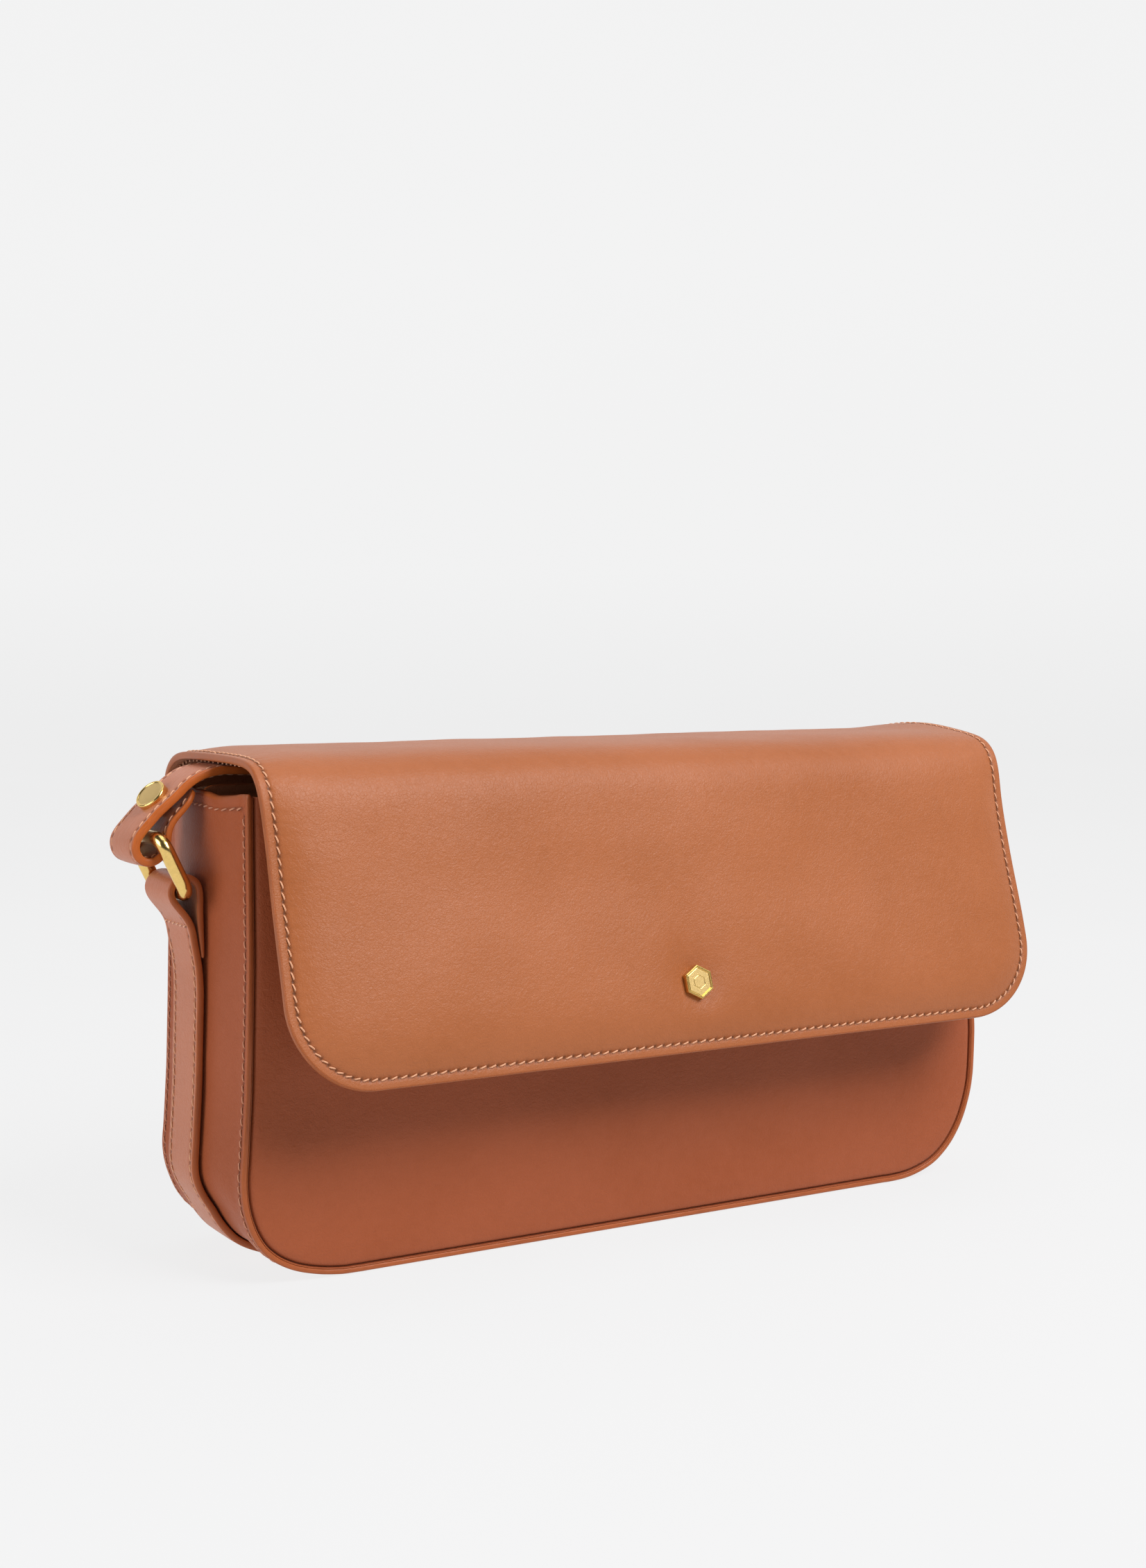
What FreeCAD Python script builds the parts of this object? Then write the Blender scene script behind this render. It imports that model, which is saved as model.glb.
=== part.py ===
import FreeCAD, Part
import os
import math

# Flap-over sling bag in leather: boxy body with a wrap-round gusset, a padded flap
# hinged along the back edge, a side-to-side anchor strip with two rectangular rings,
# and a flat strap stowed inside the bag.
# Frame: millimetres, X across the width, -Y to the front, Z up.
# The origin is the centre of the base, on the surface the bag stands on.

V = FreeCAD.Vector
os.makedirs("parts", exist_ok=True)

# ---- driving dimensions ----------------------------------------------------------
W = 270.0            # width over the gusset seams
HALF = W / 2
RIM_Y = 31.0         # seam rims at y = -31 and +31 (body depth 62)
GUSSET_TOP = 143.5   # top edge of the side gussets
CORNER_R = 36.0      # bottom corners, seen from the front
BULGE = 4.6          # outward belly of the side gussets at mid depth
BASE_RECESS = 2.3    # upward hollow of the base between the seams
SEAM = 5.8           # flat seam allowance at the front and back of the gusset
T_GUSSET = 1.6
T_PANEL = 1.4
T_LINING = 0.6
T_BOARD = 1.0
GAP = 0.2            # air between neighbouring soft layers

STRIP_W = 20.0       # anchor strip and strap width
T_STRIP = 2.1
LOOP_C = (-145.4, 114.0)   # centre of the anchor loop, x and z
LOOP_R = 4.35              # centre-line radius of the anchor loop

WIRE_R = 2.2               # ring wire radius
RING_BOTTOM = (-146.0, 113.8)
RING_TOP = (-153.8, 130.1)
RING_LEG_Y = 13.0
RING_CORNER = 4.0

T_STRAP = 2.5
STUD_R = 4.8
STUD_T = 2.2

FLAP_HALF = 136.5
T_FLAP_LEATHER = 1.3
T_FLAP_FOAM = 0.9
T_FLAP_LINING = 0.8
FLAP_TOP_Z = 155.4
FLAP_TOP_FRONT_Y = -33.5
FLAP_TOP_BACK_Y = 25.0
FLAP_BOTTOM_Z = 61.5
FLAP_CORNER_R = 26.0
FOLD_AXIS = (-41.0, 151.8)     # y, z of the front fold
HINGE_AXIS = (31.5, 153.0)     # y, z of the back hinge line
STUD_Z = 82.0
HEX_R = 5.25
HEX_T = 2.4
CLOSE_DEG = 17.0               # the flap swings this far in to reach the snap

# outer face of the hanging flap, y and z, from the hem up to the fold
FLAP_FACE = [(-63.2, 61.0), (-60.1, 76.0), (-55.4, 93.0), (-50.8, 109.0),
             (-47.0, 125.0), (-44.7, 137.0), (-44.1, 143.0)]


def save(shape, name):
    if shape.ShapeType != "Solid" and len(shape.Solids) == 1:
        shape = shape.Solids[0]
    if not shape.isValid():
        print("INVALID", name)
    b = shape.BoundBox
    print("%-24s solids %d  vol %9.1f  x %7.1f %7.1f  y %6.1f %6.1f  z %6.1f %6.1f" % (
        name, len(shape.Solids), shape.Volume, b.XMin, b.XMax, b.YMin, b.YMax, b.ZMin, b.ZMax))
    shape.exportStep("parts/%s.step" % name)
    MADE[name] = shape


MADE = {}


def xz(y):
    return lambda a, b: V(a, y, b)


def yz(x):
    return lambda a, b: V(x, a, b)


# ---- flat bands along a smooth curve ---------------------------------------------
def spline(points):
    c = Part.BSplineCurve()
    c.interpolate([V(a, 0, b) for a, b in points])
    return c


def offset_sides(points, lo, hi, place, sub=2):
    """Two rows of points, offset from a smooth curve by lo and hi. These are numbers or
    lists with one offset per curve point. Positive is to the curve's left."""
    c = spline(points)
    knots = c.getKnots()
    n = len(points)
    lo = lo if isinstance(lo, (list, tuple)) else [lo] * n
    hi = hi if isinstance(hi, (list, tuple)) else [hi] * n
    sides = ([], [])
    for i in range(n - 1):
        steps = sub if i < n - 2 else sub + 1
        for k in range(steps):
            f = k / sub
            t = knots[i] + (knots[i + 1] - knots[i]) * f
            p = c.value(t)
            d = c.tangent(t)[0]
            left = (-d.z, d.x)
            for side, off in zip(sides, (lo, hi)):
                o = off[i] + (off[i + 1] - off[i]) * f
                side.append(place(p.x + left[0] * o, p.z + left[1] * o))
    return sides


def smooth_edge(points):
    b = Part.BSplineCurve()
    b.interpolate(points)
    return b.toShape()


def band_face(points, lo, hi, place, sub=2):
    sides = offset_sides(points, lo, hi, place, sub)
    edges = [smooth_edge(side) for side in sides]
    edges.append(Part.LineSegment(sides[0][0], sides[1][0]).toShape())
    edges.append(Part.LineSegment(sides[0][-1], sides[1][-1]).toShape())
    return Part.Face(Part.Wire(Part.__sortEdges__(edges)))


def band_y(points, lo, hi, y0, y1, sub=2):
    return band_face(points, lo, hi, xz(y0), sub).extrude(V(0, y1 - y0, 0))


def band_x(points, lo, hi, x0, x1, sub=2):
    return band_face(points, lo, hi, yz(x0), sub).extrude(V(x1 - x0, 0, 0))


# ---- outlines of straight runs and arcs -------------------------------------------
def run_edges(points, radii, d, place):
    """Edges of an open path of straight runs with rounded corners, shifted d to its left."""
    edges = []
    n = len(points)
    start = None
    for i in range(n - 1):
        (ax, az), (bx, bz) = points[i], points[i + 1]
        length = math.hypot(bx - ax, bz - az)
        u = ((bx - ax) / length, (bz - az) / length)
        nu = (-u[1], u[0])
        if start is None:
            start = (ax + nu[0] * d, az + nu[1] * d)
        if i == n - 2:
            end = (bx + nu[0] * d, bz + nu[1] * d)
            edges.append(Part.LineSegment(place(*start), place(*end)).toShape())
            break
        cx, cz = points[i + 2]
        l2 = math.hypot(cx - bx, cz - bz)
        v = ((cx - bx) / l2, (cz - bz) / l2)
        nv = (-v[1], v[0])
        turn = math.atan2(u[0] * v[1] - u[1] * v[0], u[0] * v[0] + u[1] * v[1])
        s = 1 if turn > 0 else -1
        r = radii[i]
        t = r * math.tan(abs(turn) / 2)
        a = (bx - u[0] * t + nu[0] * d, bz - u[1] * t + nu[1] * d)
        b = (bx + v[0] * t + nv[0] * d, bz + v[1] * t + nv[1] * d)
        c = (bx - u[0] * t + nu[0] * r * s, bz - u[1] * t + nu[1] * r * s)
        m = (bx - c[0], bz - c[1])
        ml = math.hypot(*m)
        rr = r - d * s
        mid = (c[0] + m[0] / ml * rr, c[1] + m[1] / ml * rr)
        edges.append(Part.LineSegment(place(*start), place(*a)).toShape())
        edges.append(Part.Arc(place(*a), place(*mid), place(*b)).toShape())
        start = b
    return edges, start


def run_band(points, radii, lo, hi, place, push):
    faces = []
    ends = []
    edges = []
    for d in (lo, hi):
        e, _ = run_edges(points, radii, d, place)
        edges += e
        ends.append((e[0].Vertexes[0].Point, e[-1].Vertexes[-1].Point))
        if (ends[-1][0] - place(*points[0])).Length > abs(d) + 1e-6:
            ends[-1] = (e[0].Vertexes[-1].Point, ends[-1][1])
    for k in (0, 1):
        edges.append(Part.LineSegment(ends[0][k], ends[1][k]).toShape())
    return Part.Face(Part.Wire(Part.__sortEdges__(edges))).extrude(push)


def u_path(half, bottom, top, r):
    """U outline seen from the front: down the left side, along the base, up the right."""
    return [(-half, top), (-half, bottom), (half, bottom), (half, top)], [r, r]


def u_plate(half, bottom, top, r, y0, y1):
    pts, rad = u_path(half, bottom, top, r)
    e, _ = run_edges(pts, rad, 0, xz(y0))
    e.append(Part.LineSegment(V(-half, y0, top), V(half, y0, top)).toShape())
    return Part.Face(Part.Wire(Part.__sortEdges__(e))).extrude(V(0, y1 - y0, 0))


def u_band(half, bottom, top, r, t, y0, y1):
    """A U-shaped wall of thickness t measured inwards from the outline."""
    pts, rad = u_path(half, bottom, top, r)
    return run_band(pts, rad, 0, t, xz(y0), V(0, y1 - y0, 0))


def box(x0, x1, y0, y1, z0, z1):
    return Part.makeBox(x1 - x0, y1 - y0, z1 - z0, V(x0, y0, z0))


def rounded_xz(x0, x1, z0, z1, r, y0, y1, top_too=True):
    b = box(x0, x1, y0, y1, z0, z1)
    es = []
    for e in b.Edges:
        c = e.CenterOfMass
        along_y = abs(e.Vertexes[0].Point.y - e.Vertexes[1].Point.y) > 1e-6
        if along_y and (top_too or c.z < (z0 + z1) / 2):
            es.append(e)
    return b.makeFillet(r, es)


# ---- double-curved leather between two point grids ---------------------------------
def grid_solid(a, b):
    sa, sb = Part.BSplineSurface(), Part.BSplineSurface()
    sa.interpolate(a)
    sb.interpolate(b)
    u0, u1, v0, v1 = sa.bounds()
    w0, w1, q0, q1 = sb.bounds()
    faces = [sa.toShape(), sb.toShape()]
    for ca, cb in ((sa.uIso(u0), sb.uIso(w0)), (sa.uIso(u1), sb.uIso(w1)),
                   (sa.vIso(v0), sb.vIso(q0)), (sa.vIso(v1), sb.vIso(q1))):
        faces.append(Part.makeRuledSurface(ca.toShape(), cb.toShape()))
    shell = Part.makeShell(faces)
    shell.sewShape()
    if shell.ShapeType != "Shell":
        shell = shell.Shells[0]
    solid = Part.makeSolid(shell)
    if solid.Volume < 0:
        solid.reverse()
    return solid


def side_profile(y):
    a = abs(y) / (RIM_Y - SEAM)
    return 0.0 if a >= 1 else (1 - a * a) ** 1.25 * (1 + 0.25 * a * a)


def base_profile(y):
    a = (abs(y) - 15.0) / (RIM_Y - SEAM + 0.8 - 15.0)
    return 1.0 if a <= 0 else (0.0 if a >= 1 else 0.5 + 0.5 * math.cos(math.pi * a))


def gusset_point(st, y, d):
    """st: seam outline x, z, then mid-depth outline x, z, then outward normal x, z.
    The leather runs from the seam outline at the rims to the mid-depth outline between."""
    sx, sz, mx, mz, nx, nz = st
    c = nx * nx
    f = c * side_profile(y) + (1 - c) * base_profile(y)
    return V(sx + (mx - sx) * f - nx * d, y, sz + (mz - sz) * f - nz * d)


def stations(top):
    mid_x = -HALF - BULGE
    out = []
    for z in (top, top - 6, top - 13, top - 22, top - 34, top - 48, top - 62, top - 76, top - 88, top - 98):
        out.append((-HALF, z, mid_x, z, -1.0, 0.0))
    for k in range(0, 13):
        t = math.radians(7.5 * k)
        c, sn = math.cos(t), math.sin(t)
        out.append((-HALF + CORNER_R - CORNER_R * c, SEAM_Z + CORNER_R - CORNER_R * sn,
                    MID_C[0] - MID_R0 * c, MID_C[1] - MID_R0 * sn, -c, -sn))
    for x in (-92, -82, -70, -56, -40, -22, -6):
        out.append((x, SEAM_Z, x - (x + 92) * 0.0, BASE_RECESS, 0.0, -1.0))
    right = [(-a, b, -c, d, -e, f) for a, b, c, d, e, f in reversed(out)]
    return out + right


SEAM_Z = 0.15                         # the rims clear the ground by this much
STRIP_R = 36.0                        # centre-line radius of the strip at the corners
STRIP_X = -HALF - BULGE - GAP - T_STRIP / 2
MID_C = (STRIP_X + STRIP_R, T_STRIP / 2 + STRIP_R)
MID_R0 = STRIP_R - T_STRIP / 2 - GAP
GUSSET_YS = [-31, -29.5, -28, -26.5, -25, -23, -20.5, -18, -15, -10, -5, 0, 5, 10, 15, 18, 20.5, 23, 25, 26.5, 28, 29.5, 31]

st = stations(GUSSET_TOP)
gusset = grid_solid([[gusset_point(s, y, 0.0) for y in GUSSET_YS] for s in st],
                    [[gusset_point(s, y, T_GUSSET) for y in GUSSET_YS] for s in st])
save(gusset, "gusset")

# leather facing turned down inside the top of each side gusset
fys = [-24, -19, -15, -10, -5, 0, 5, 10, 15, 19, 24]
fst = [(-HALF, z, -HALF - BULGE, z, -1.0, 0.0) for z in (GUSSET_TOP, GUSSET_TOP - 6, GUSSET_TOP - 13, GUSSET_TOP - 20)]
facing = grid_solid([[gusset_point(s, y, T_GUSSET + GAP) for y in fys] for s in fst],
                    [[gusset_point(s, y, T_GUSSET + GAP + 1.2) for y in fys] for s in fst])
save(facing, "gusset_facing_left")
save(facing.mirror(V(0, 0, 0), V(1, 0, 0)), "gusset_facing_right")

# ---- front and back panels: a flat plate with a rim flange sewn inside the gusset --
PANEL_HALF = HALF - T_GUSSET - GAP - 0.1
PANEL_BOTTOM = T_GUSSET + GAP + 0.1
PANEL_R = CORNER_R - T_GUSSET - GAP
PANEL_TOP = 142.5
SNAP_HOLE_R = 2.1

# where the flap's inner face lands when it closes on the panel
def turn_in(y, z, deg):
    a = math.radians(deg)
    ry, rz = y - FOLD_AXIS[0], z - FOLD_AXIS[1]
    # closing swings the flap's lower end towards +Y
    return (FOLD_AXIS[0] + ry * math.cos(a) - rz * math.sin(a),
            FOLD_AXIS[1] + ry * math.sin(a) + rz * math.cos(a))


face_curve = spline(FLAP_FACE)
_t = min((abs(face_curve.value(face_curve.FirstParameter + (face_curve.LastParameter - face_curve.FirstParameter) * k / 2000.0).z - STUD_Z), k) for k in range(2001))[1]
_t = face_curve.FirstParameter + (face_curve.LastParameter - face_curve.FirstParameter) * _t / 2000.0
STUD_P = face_curve.value(_t)
_d = face_curve.tangent(_t)[0]
STUD_N = (-_d.z, _d.x)            # outward normal (towards -Y) in y, z
T_FLAP = T_FLAP_LEATHER + T_FLAP_FOAM + T_FLAP_LINING + 0.2
SNAP_Y, SNAP_Z = turn_in(STUD_P.x - STUD_N[0] * T_FLAP, STUD_P.z - STUD_N[1] * T_FLAP, CLOSE_DEG)
print("snap lands at y %.2f z %.2f, flap thickness %.2f" % (SNAP_Y, SNAP_Z, T_FLAP))


def cyl(r, p, d, length):
    return Part.makeCylinder(r, length, p, d)


plate_y0 = -RIM_Y + 1.0
flange = u_band(PANEL_HALF, PANEL_BOTTOM, PANEL_TOP, PANEL_R, T_PANEL, -RIM_Y, -RIM_Y + SEAM - 0.3)
plate = u_plate(PANEL_HALF, PANEL_BOTTOM, PANEL_TOP, PANEL_R, plate_y0, plate_y0 + T_PANEL)
panel = plate.fuse(flange).removeSplitter()
back_panel = panel.mirror(V(0, 0, 0), V(0, 1, 0))
front_panel = panel.cut(cyl(SNAP_HOLE_R, V(0, -40, SNAP_Z), V(0, 1, 0), 20))
save(front_panel, "front_panel")
save(back_panel, "back_panel")

# stiffening boards behind the panels and over the base
board_y = plate_y0 + T_PANEL + 0.7
INNER_HALF = PANEL_HALF - T_PANEL - 0.4
front_board = u_plate(INNER_HALF - 1.0, 5.0, 139.0, PANEL_R - 4, board_y, board_y + T_BOARD)
save(front_board, "front_board")
save(front_board.mirror(V(0, 0, 0), V(0, 1, 0)), "back_board")
save(box(-92, 92, -23.5, 23.5, BASE_RECESS + T_GUSSET + 0.4, BASE_RECESS + T_GUSSET + 1.7), "base_board")

# linings
lining_y = board_y + T_BOARD + 0.3
LINING_BOTTOM = BASE_RECESS + T_GUSSET + 2.0
front_lining = u_plate(INNER_HALF, LINING_BOTTOM, 142.0, PANEL_R - 5, lining_y, lining_y + T_LINING - 0.1)
save(front_lining, "front_lining")
save(front_lining.mirror(V(0, 0, 0), V(0, 1, 0)), "back_lining")
gusset_lining = u_band(INNER_HALF, LINING_BOTTOM, GUSSET_TOP - 22, PANEL_R - 3, T_LINING, -24.8, 24.8)
save(gusset_lining, "gusset_lining")
face_in = lining_y + T_LINING + 0.2
mouth = box(-INNER_HALF + 3.4, INNER_HALF - 3.4, face_in, face_in + 1.0, 121.0, 142.5)
save(mouth, "mouth_facing_front")
save(mouth.mirror(V(0, 0, 0), V(0, 1, 0)), "mouth_facing_back")
save(rounded_xz(-70, 70, 42, 114, 8, -(face_in + 0.8), -(face_in + 0.2), False), "slip_pocket")

# ---- snap socket on the front panel -------------------------------------------------
socket = cyl(6.0, V(0, plate_y0 - 0.1, SNAP_Z), V(0, -1, 0), 2.0)
socket = socket.makeFillet(0.5, [e for e in socket.Edges if abs(e.CenterOfMass.y - (plate_y0 - 2.1)) < 1e-3 and len(e.Vertexes) == 1])
socket = socket.cut(cyl(3.0, V(0, plate_y0 - 0.9, SNAP_Z), V(0, -1, 0), 3.0))
socket = socket.fuse(cyl(1.9, V(0, plate_y0 - 0.2, SNAP_Z), V(0, 1, 0), 2.0)).removeSplitter()
save(socket, "snap_socket")
washer_y = plate_y0 + T_PANEL + 0.1
washer = cyl(5.5, V(0, washer_y, SNAP_Z), V(0, 1, 0), 0.5).cut(cyl(2.1, V(0, washer_y - 1, SNAP_Z), V(0, 1, 0), 3))
save(washer, "snap_socket_washer")

# ---- anchor strip: loop, side, corner, base, corner, side, loop --------------------
left = [(-140.3, 94.5), (-140.55, 99.0), (-140.85, 104.0), (-140.95, 109.0)]
thick = [0.8, 1.4, 1.9, 2.0]
for a in (0, 40, 80, 120, 160, 195):
    t = math.radians(a)
    left.append((LOOP_C[0] + LOOP_R * math.cos(t), LOOP_C[1] + LOOP_R * math.sin(t)))
    thick.append(T_STRIP)
left += [(-147.6, 109.6), (-145.3, 106.7), (-143.7, 103.6), (-142.95, 100.0), (-142.25, 96.0),
         (-141.5, 92.0), (-141.05, 87.5)]
left += [(STRIP_X, 83.5)]
thick += [T_STRIP] * (len(left) - len(thick))
zb = T_STRIP / 2
upts = [(STRIP_X, 83.5), (STRIP_X, zb), (-STRIP_X, zb), (-STRIP_X, 83.5)]
edges = []
caps = []
for sign in (-1, 1):
    side = offset_sides(left, [sign * t / 2 for t in thick], [sign * t / 2 for t in thick], xz(-STRIP_W / 2))[0]
    # the path runs down the left side, so its left is towards the bag
    side[-1] = V(STRIP_X + sign * T_STRIP / 2, -STRIP_W / 2, 83.5)
    e = smooth_edge(side)
    edges += [e, e.mirror(V(0, 0, 0), V(1, 0, 0))]
    edges += run_edges(upts, [STRIP_R, STRIP_R], sign * T_STRIP / 2, xz(-STRIP_W / 2))[0]
    caps.append(side[0])
edges.append(Part.LineSegment(caps[0], caps[1]).toShape())
edges.append(Part.LineSegment(V(-caps[0].x, caps[0].y, caps[0].z), V(-caps[1].x, caps[1].y, caps[1].z)).toShape())
strip = Part.Face(Part.Wire(Part.__sortEdges__(edges))).extrude(V(0, STRIP_W, 0))
save(strip, "anchor_strip")

# ---- rectangular rings --------------------------------------------------------------
def ring_shape():
    # drawn flat in a local frame (s along the ring's height, y across), then placed
    (bx, bz), (tx, tz) = RING_BOTTOM, RING_TOP
    h = math.hypot(tx - bx, tz - bz)
    e = ((tx - bx) / h, (tz - bz) / h)

    def pt(s, y):
        return V(bx + e[0] * s, y, bz + e[1] * s)
    c, L = RING_CORNER, RING_LEG_Y
    k = c * (1 - math.sqrt(0.5))
    edges = [
        Part.LineSegment(pt(0, -L + c), pt(0, L - c)).toShape(),
        Part.Arc(pt(0, L - c), pt(k, L - k), pt(c, L)).toShape(),
        Part.LineSegment(pt(c, L), pt(h - c, L)).toShape(),
        Part.Arc(pt(h - c, L), pt(h - k, L - k), pt(h, L - c)).toShape(),
        Part.LineSegment(pt(h, L - c), pt(h, -L + c)).toShape(),
        Part.Arc(pt(h, -L + c), pt(h - k, -L + k), pt(h - c, -L)).toShape(),
        Part.LineSegment(pt(h - c, -L), pt(c, -L)).toShape(),
        Part.Arc(pt(c, -L), pt(k, -L + k), pt(0, -L + c)).toShape(),
    ]
    path = Part.Wire(edges)
    circle = Part.Wire([Part.Circle(pt(0, 0), V(0, 1, 0), WIRE_R).toShape()])
    # start the sweep at the middle of the lower bar
    edges[0:1] = [Part.LineSegment(pt(0, 0), pt(0, L - c)).toShape()]
    edges.append(Part.LineSegment(pt(0, -L + c), pt(0, 0)).toShape())
    path = Part.Wire(edges)
    return path.makePipeShell([circle], True, False)


ring = ring_shape()
save(ring, "ring_left")
save(ring.mirror(V(0, 0, 0), V(1, 0, 0)), "ring_right")

# ---- strap: a face and a backing ply, glued and sewn ---------------------------------
STRAP_END = [(-132.6, 149.3), (-136.2, 148.85), (-139.7, 147.95), (-142.3, 146.6), (-144.6, 145.0),
             (-146.6, 143.1), (-148.6, 141.0), (-150.5, 139.0), (-152.3, 137.1), (-154.1, 135.2),
             (-155.9, 133.3), (-157.5, 131.4), (-158.6, 129.2), (-158.9, 126.9), (-158.35, 124.7),
             (-156.9, 123.1), (-154.8, 122.6), (-152.7, 123.5), (-151.1, 125.2), (-150.15, 127.4),
             (-149.7, 129.8), (-149.35, 132.2), (-148.2, 135.1), (-146.36, 137.4), (-144.4, 139.6),
             (-142.7, 141.9), (-141.1, 143.6)]
n = len(STRAP_END)
half = [T_STRAP / 2] * 17 + [1.2, 1.12, 1.05, 0.98, 0.92, 0.88, 0.85, 0.85, 0.8, 0.7]
# the path turns to the left round the ring: the face ply is on the outside, to its right
face_ply = band_y(STRAP_END, [-h for h in half], [-0.06 for h in half], -STRIP_W / 2, STRIP_W / 2)
back_ply = band_y(STRAP_END, [0.06 for h in half], list(half), -STRIP_W / 2, STRIP_W / 2)

# Chicago screw through the strap and its tail
b0 = V(-150.47, 0, 140.86)
ax = V(-0.725, 0, 0.689)
ax.normalize()
hole = cyl(2.3, b0 + ax * 2, ax * -1, 9.5)
face_ply = face_ply.cut(hole)
back_ply = back_ply.cut(hole)


def biggest(s):
    return max(s.Solids, key=lambda q: q.Volume) if len(s.Solids) > 1 else s


stud = cyl(STUD_R, b0 + ax * 0.2, ax, STUD_T)
rim = [e for e in stud.Edges if len(e.Vertexes) == 1 and (e.CenterOfMass - (b0 + ax * (0.2 + STUD_T))).Length < 1e-3]
stud = stud.makeFillet(0.35, rim)
stud = stud.fuse(cyl(2.1, b0 + ax * 0.3, ax * -1, 6.4)).removeSplitter()
screw = cyl(3.6, b0 - ax * 6.9, ax * -1, 1.1)
screw = screw.makeFillet(0.3, [e for e in screw.Edges if len(e.Vertexes) == 1 and (e.CenterOfMass - (b0 - ax * 8.0)).Length < 1e-3])
screw = screw.cut(box(-160, -130, -0.5, 0.5, 120, 150).common(cyl(3.0, b0 - ax * 7.5, ax * -1, 2)))
for name, s in (("strap_end_%s_face", biggest(face_ply)), ("strap_end_%s_backing", biggest(back_ply)),
                ("strap_stud_%s", stud), ("strap_screw_%s", screw)):
    save(s, name % "left")
    save(s.mirror(V(0, 0, 0), V(1, 0, 0)), name % "right")

# the stowed middle of the strap: in through the mouth, down, along the base and up
MID = [(-132.2, 149.3), (-107.0, 148.0), (-103.0, 8.6), (103.0, 8.6), (107.0, 148.0), (132.2, 149.3)]
MID_R = [15.0, 24.0, 24.0, 15.0]
# travelling to the right, the face ply is on top (left of the path)
middle_face = run_band(MID, MID_R, 0.06, T_STRAP / 2, xz(-STRIP_W / 2), V(0, STRIP_W, 0))
middle_back = run_band(MID, MID_R, -T_STRAP / 2, -0.06, xz(-STRIP_W / 2), V(0, STRIP_W, 0))
save(middle_face, "strap_middle_face")
save(middle_back, "strap_middle_backing")
mid_len = sum(e.Length for e in run_edges(MID, MID_R, 0, xz(0))[0])
end_len = spline(STRAP_END).length()
print("strap length: middle %.1f, each end %.1f, total %.1f" % (mid_len, end_len, mid_len + 2 * end_len))

# ---- flap ----------------------------------------------------------------------------
# The face curve runs upwards, so its left side is the outside and layers go to its right.
layers = {}
d = 0.0
for key, t in (("leather", T_FLAP_LEATHER), ("foam", T_FLAP_FOAM), ("lining", T_FLAP_LINING)):
    layers[key] = (d, d + t)
    d += t + 0.1
window = rounded_xz(-FLAP_HALF, FLAP_HALF, FLAP_BOTTOM_Z, 400, FLAP_CORNER_R, -90, -20, False)
window_in = rounded_xz(-FLAP_HALF + 7, FLAP_HALF - 7, FLAP_BOTTOM_Z + 7, 400, FLAP_CORNER_R - 6, -90, -20, False)
stud_at = V(0, STUD_P.x, STUD_P.z)
nrm = V(0, STUD_N[0], STUD_N[1])
flap_hole = cyl(1.8, stud_at + nrm * 3, nrm * -1, 12)
for key, (a, b) in layers.items():
    s = band_x(FLAP_FACE, -b, -a, -FLAP_HALF - 1, FLAP_HALF + 1)
    s = s.common(window_in if key == "foam" else window).cut(flap_hole)
    save(s, "flap_front_" + key)
for key, (a, b) in layers.items():
    m = 7 if key == "foam" else 0
    save(box(-FLAP_HALF + m, FLAP_HALF - m, FLAP_TOP_FRONT_Y, FLAP_TOP_BACK_Y, FLAP_TOP_Z - b, FLAP_TOP_Z - a),
         "flap_top_" + key)

# leather apron that carries the flap down the back of the bag
apron = rounded_xz(-FLAP_HALF + 2.5, FLAP_HALF - 2.5, 112, 300, 12, RIM_Y + 0.3, RIM_Y + 2.2, False)
apron = apron.common(box(-200, 200, 0, 60, 100, 145.5))
save(apron, "flap_back_apron")

# hexagonal cover stud: a raised hexagonal rim round a shallow well with a plain domed button
def hexagon(r, base, length):
    pts = []
    side = V(1, 0, 0)
    up = nrm.cross(side)
    if up.z < 0:
        up = up * -1
    for k in range(7):
        t = math.radians(90 + 60 * (k % 6))
        pts.append(base + side * (r * math.cos(t)) + up * (r * math.sin(t)))
    return Part.Face(Part.makePolygon(pts)).extrude(nrm * length)


h0 = stud_at + nrm * 0.15
hexa = hexagon(HEX_R, h0, HEX_T)
hexa = hexa.cut(hexagon(HEX_R - 0.95, h0 + nrm * (HEX_T - 0.5), 2))
hexa = hexa.fuse(cyl(2.5, h0 + nrm * (HEX_T - 0.7), nrm, 0.5))
hexa = hexa.fuse(cyl(1.6, h0 + nrm * 0.2, nrm * -1, T_FLAP + 0.35)).removeSplitter()
save(hexa, "flap_stud")
inner = stud_at - nrm * (T_FLAP + 0.25)
male = cyl(6.0, inner, nrm * -1, 0.9)
male = male.fuse(cyl(2.0, inner - nrm * 0.5, nrm * -1, 2.2)).removeSplitter()
save(male, "flap_snap_male")

# ---- a check of the closed flap against the body --------------------------------------
if __name__ == "__main__":
    c = V(0, FOLD_AXIS[0], FOLD_AXIS[1])
    for k in ("flap_front_lining", "flap_snap_male"):
        s = MADE[k].copy()
        s.rotate(c, V(-1, 0, 0), -CLOSE_DEG)
        for o in ("front_panel", "snap_socket", "gusset"):
            print("closed", k, o, "gap %.2f" % s.distToShape(MADE[o])[0])
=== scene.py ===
import bpy
import math
import numpy as np
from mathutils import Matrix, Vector, geometry


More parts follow.
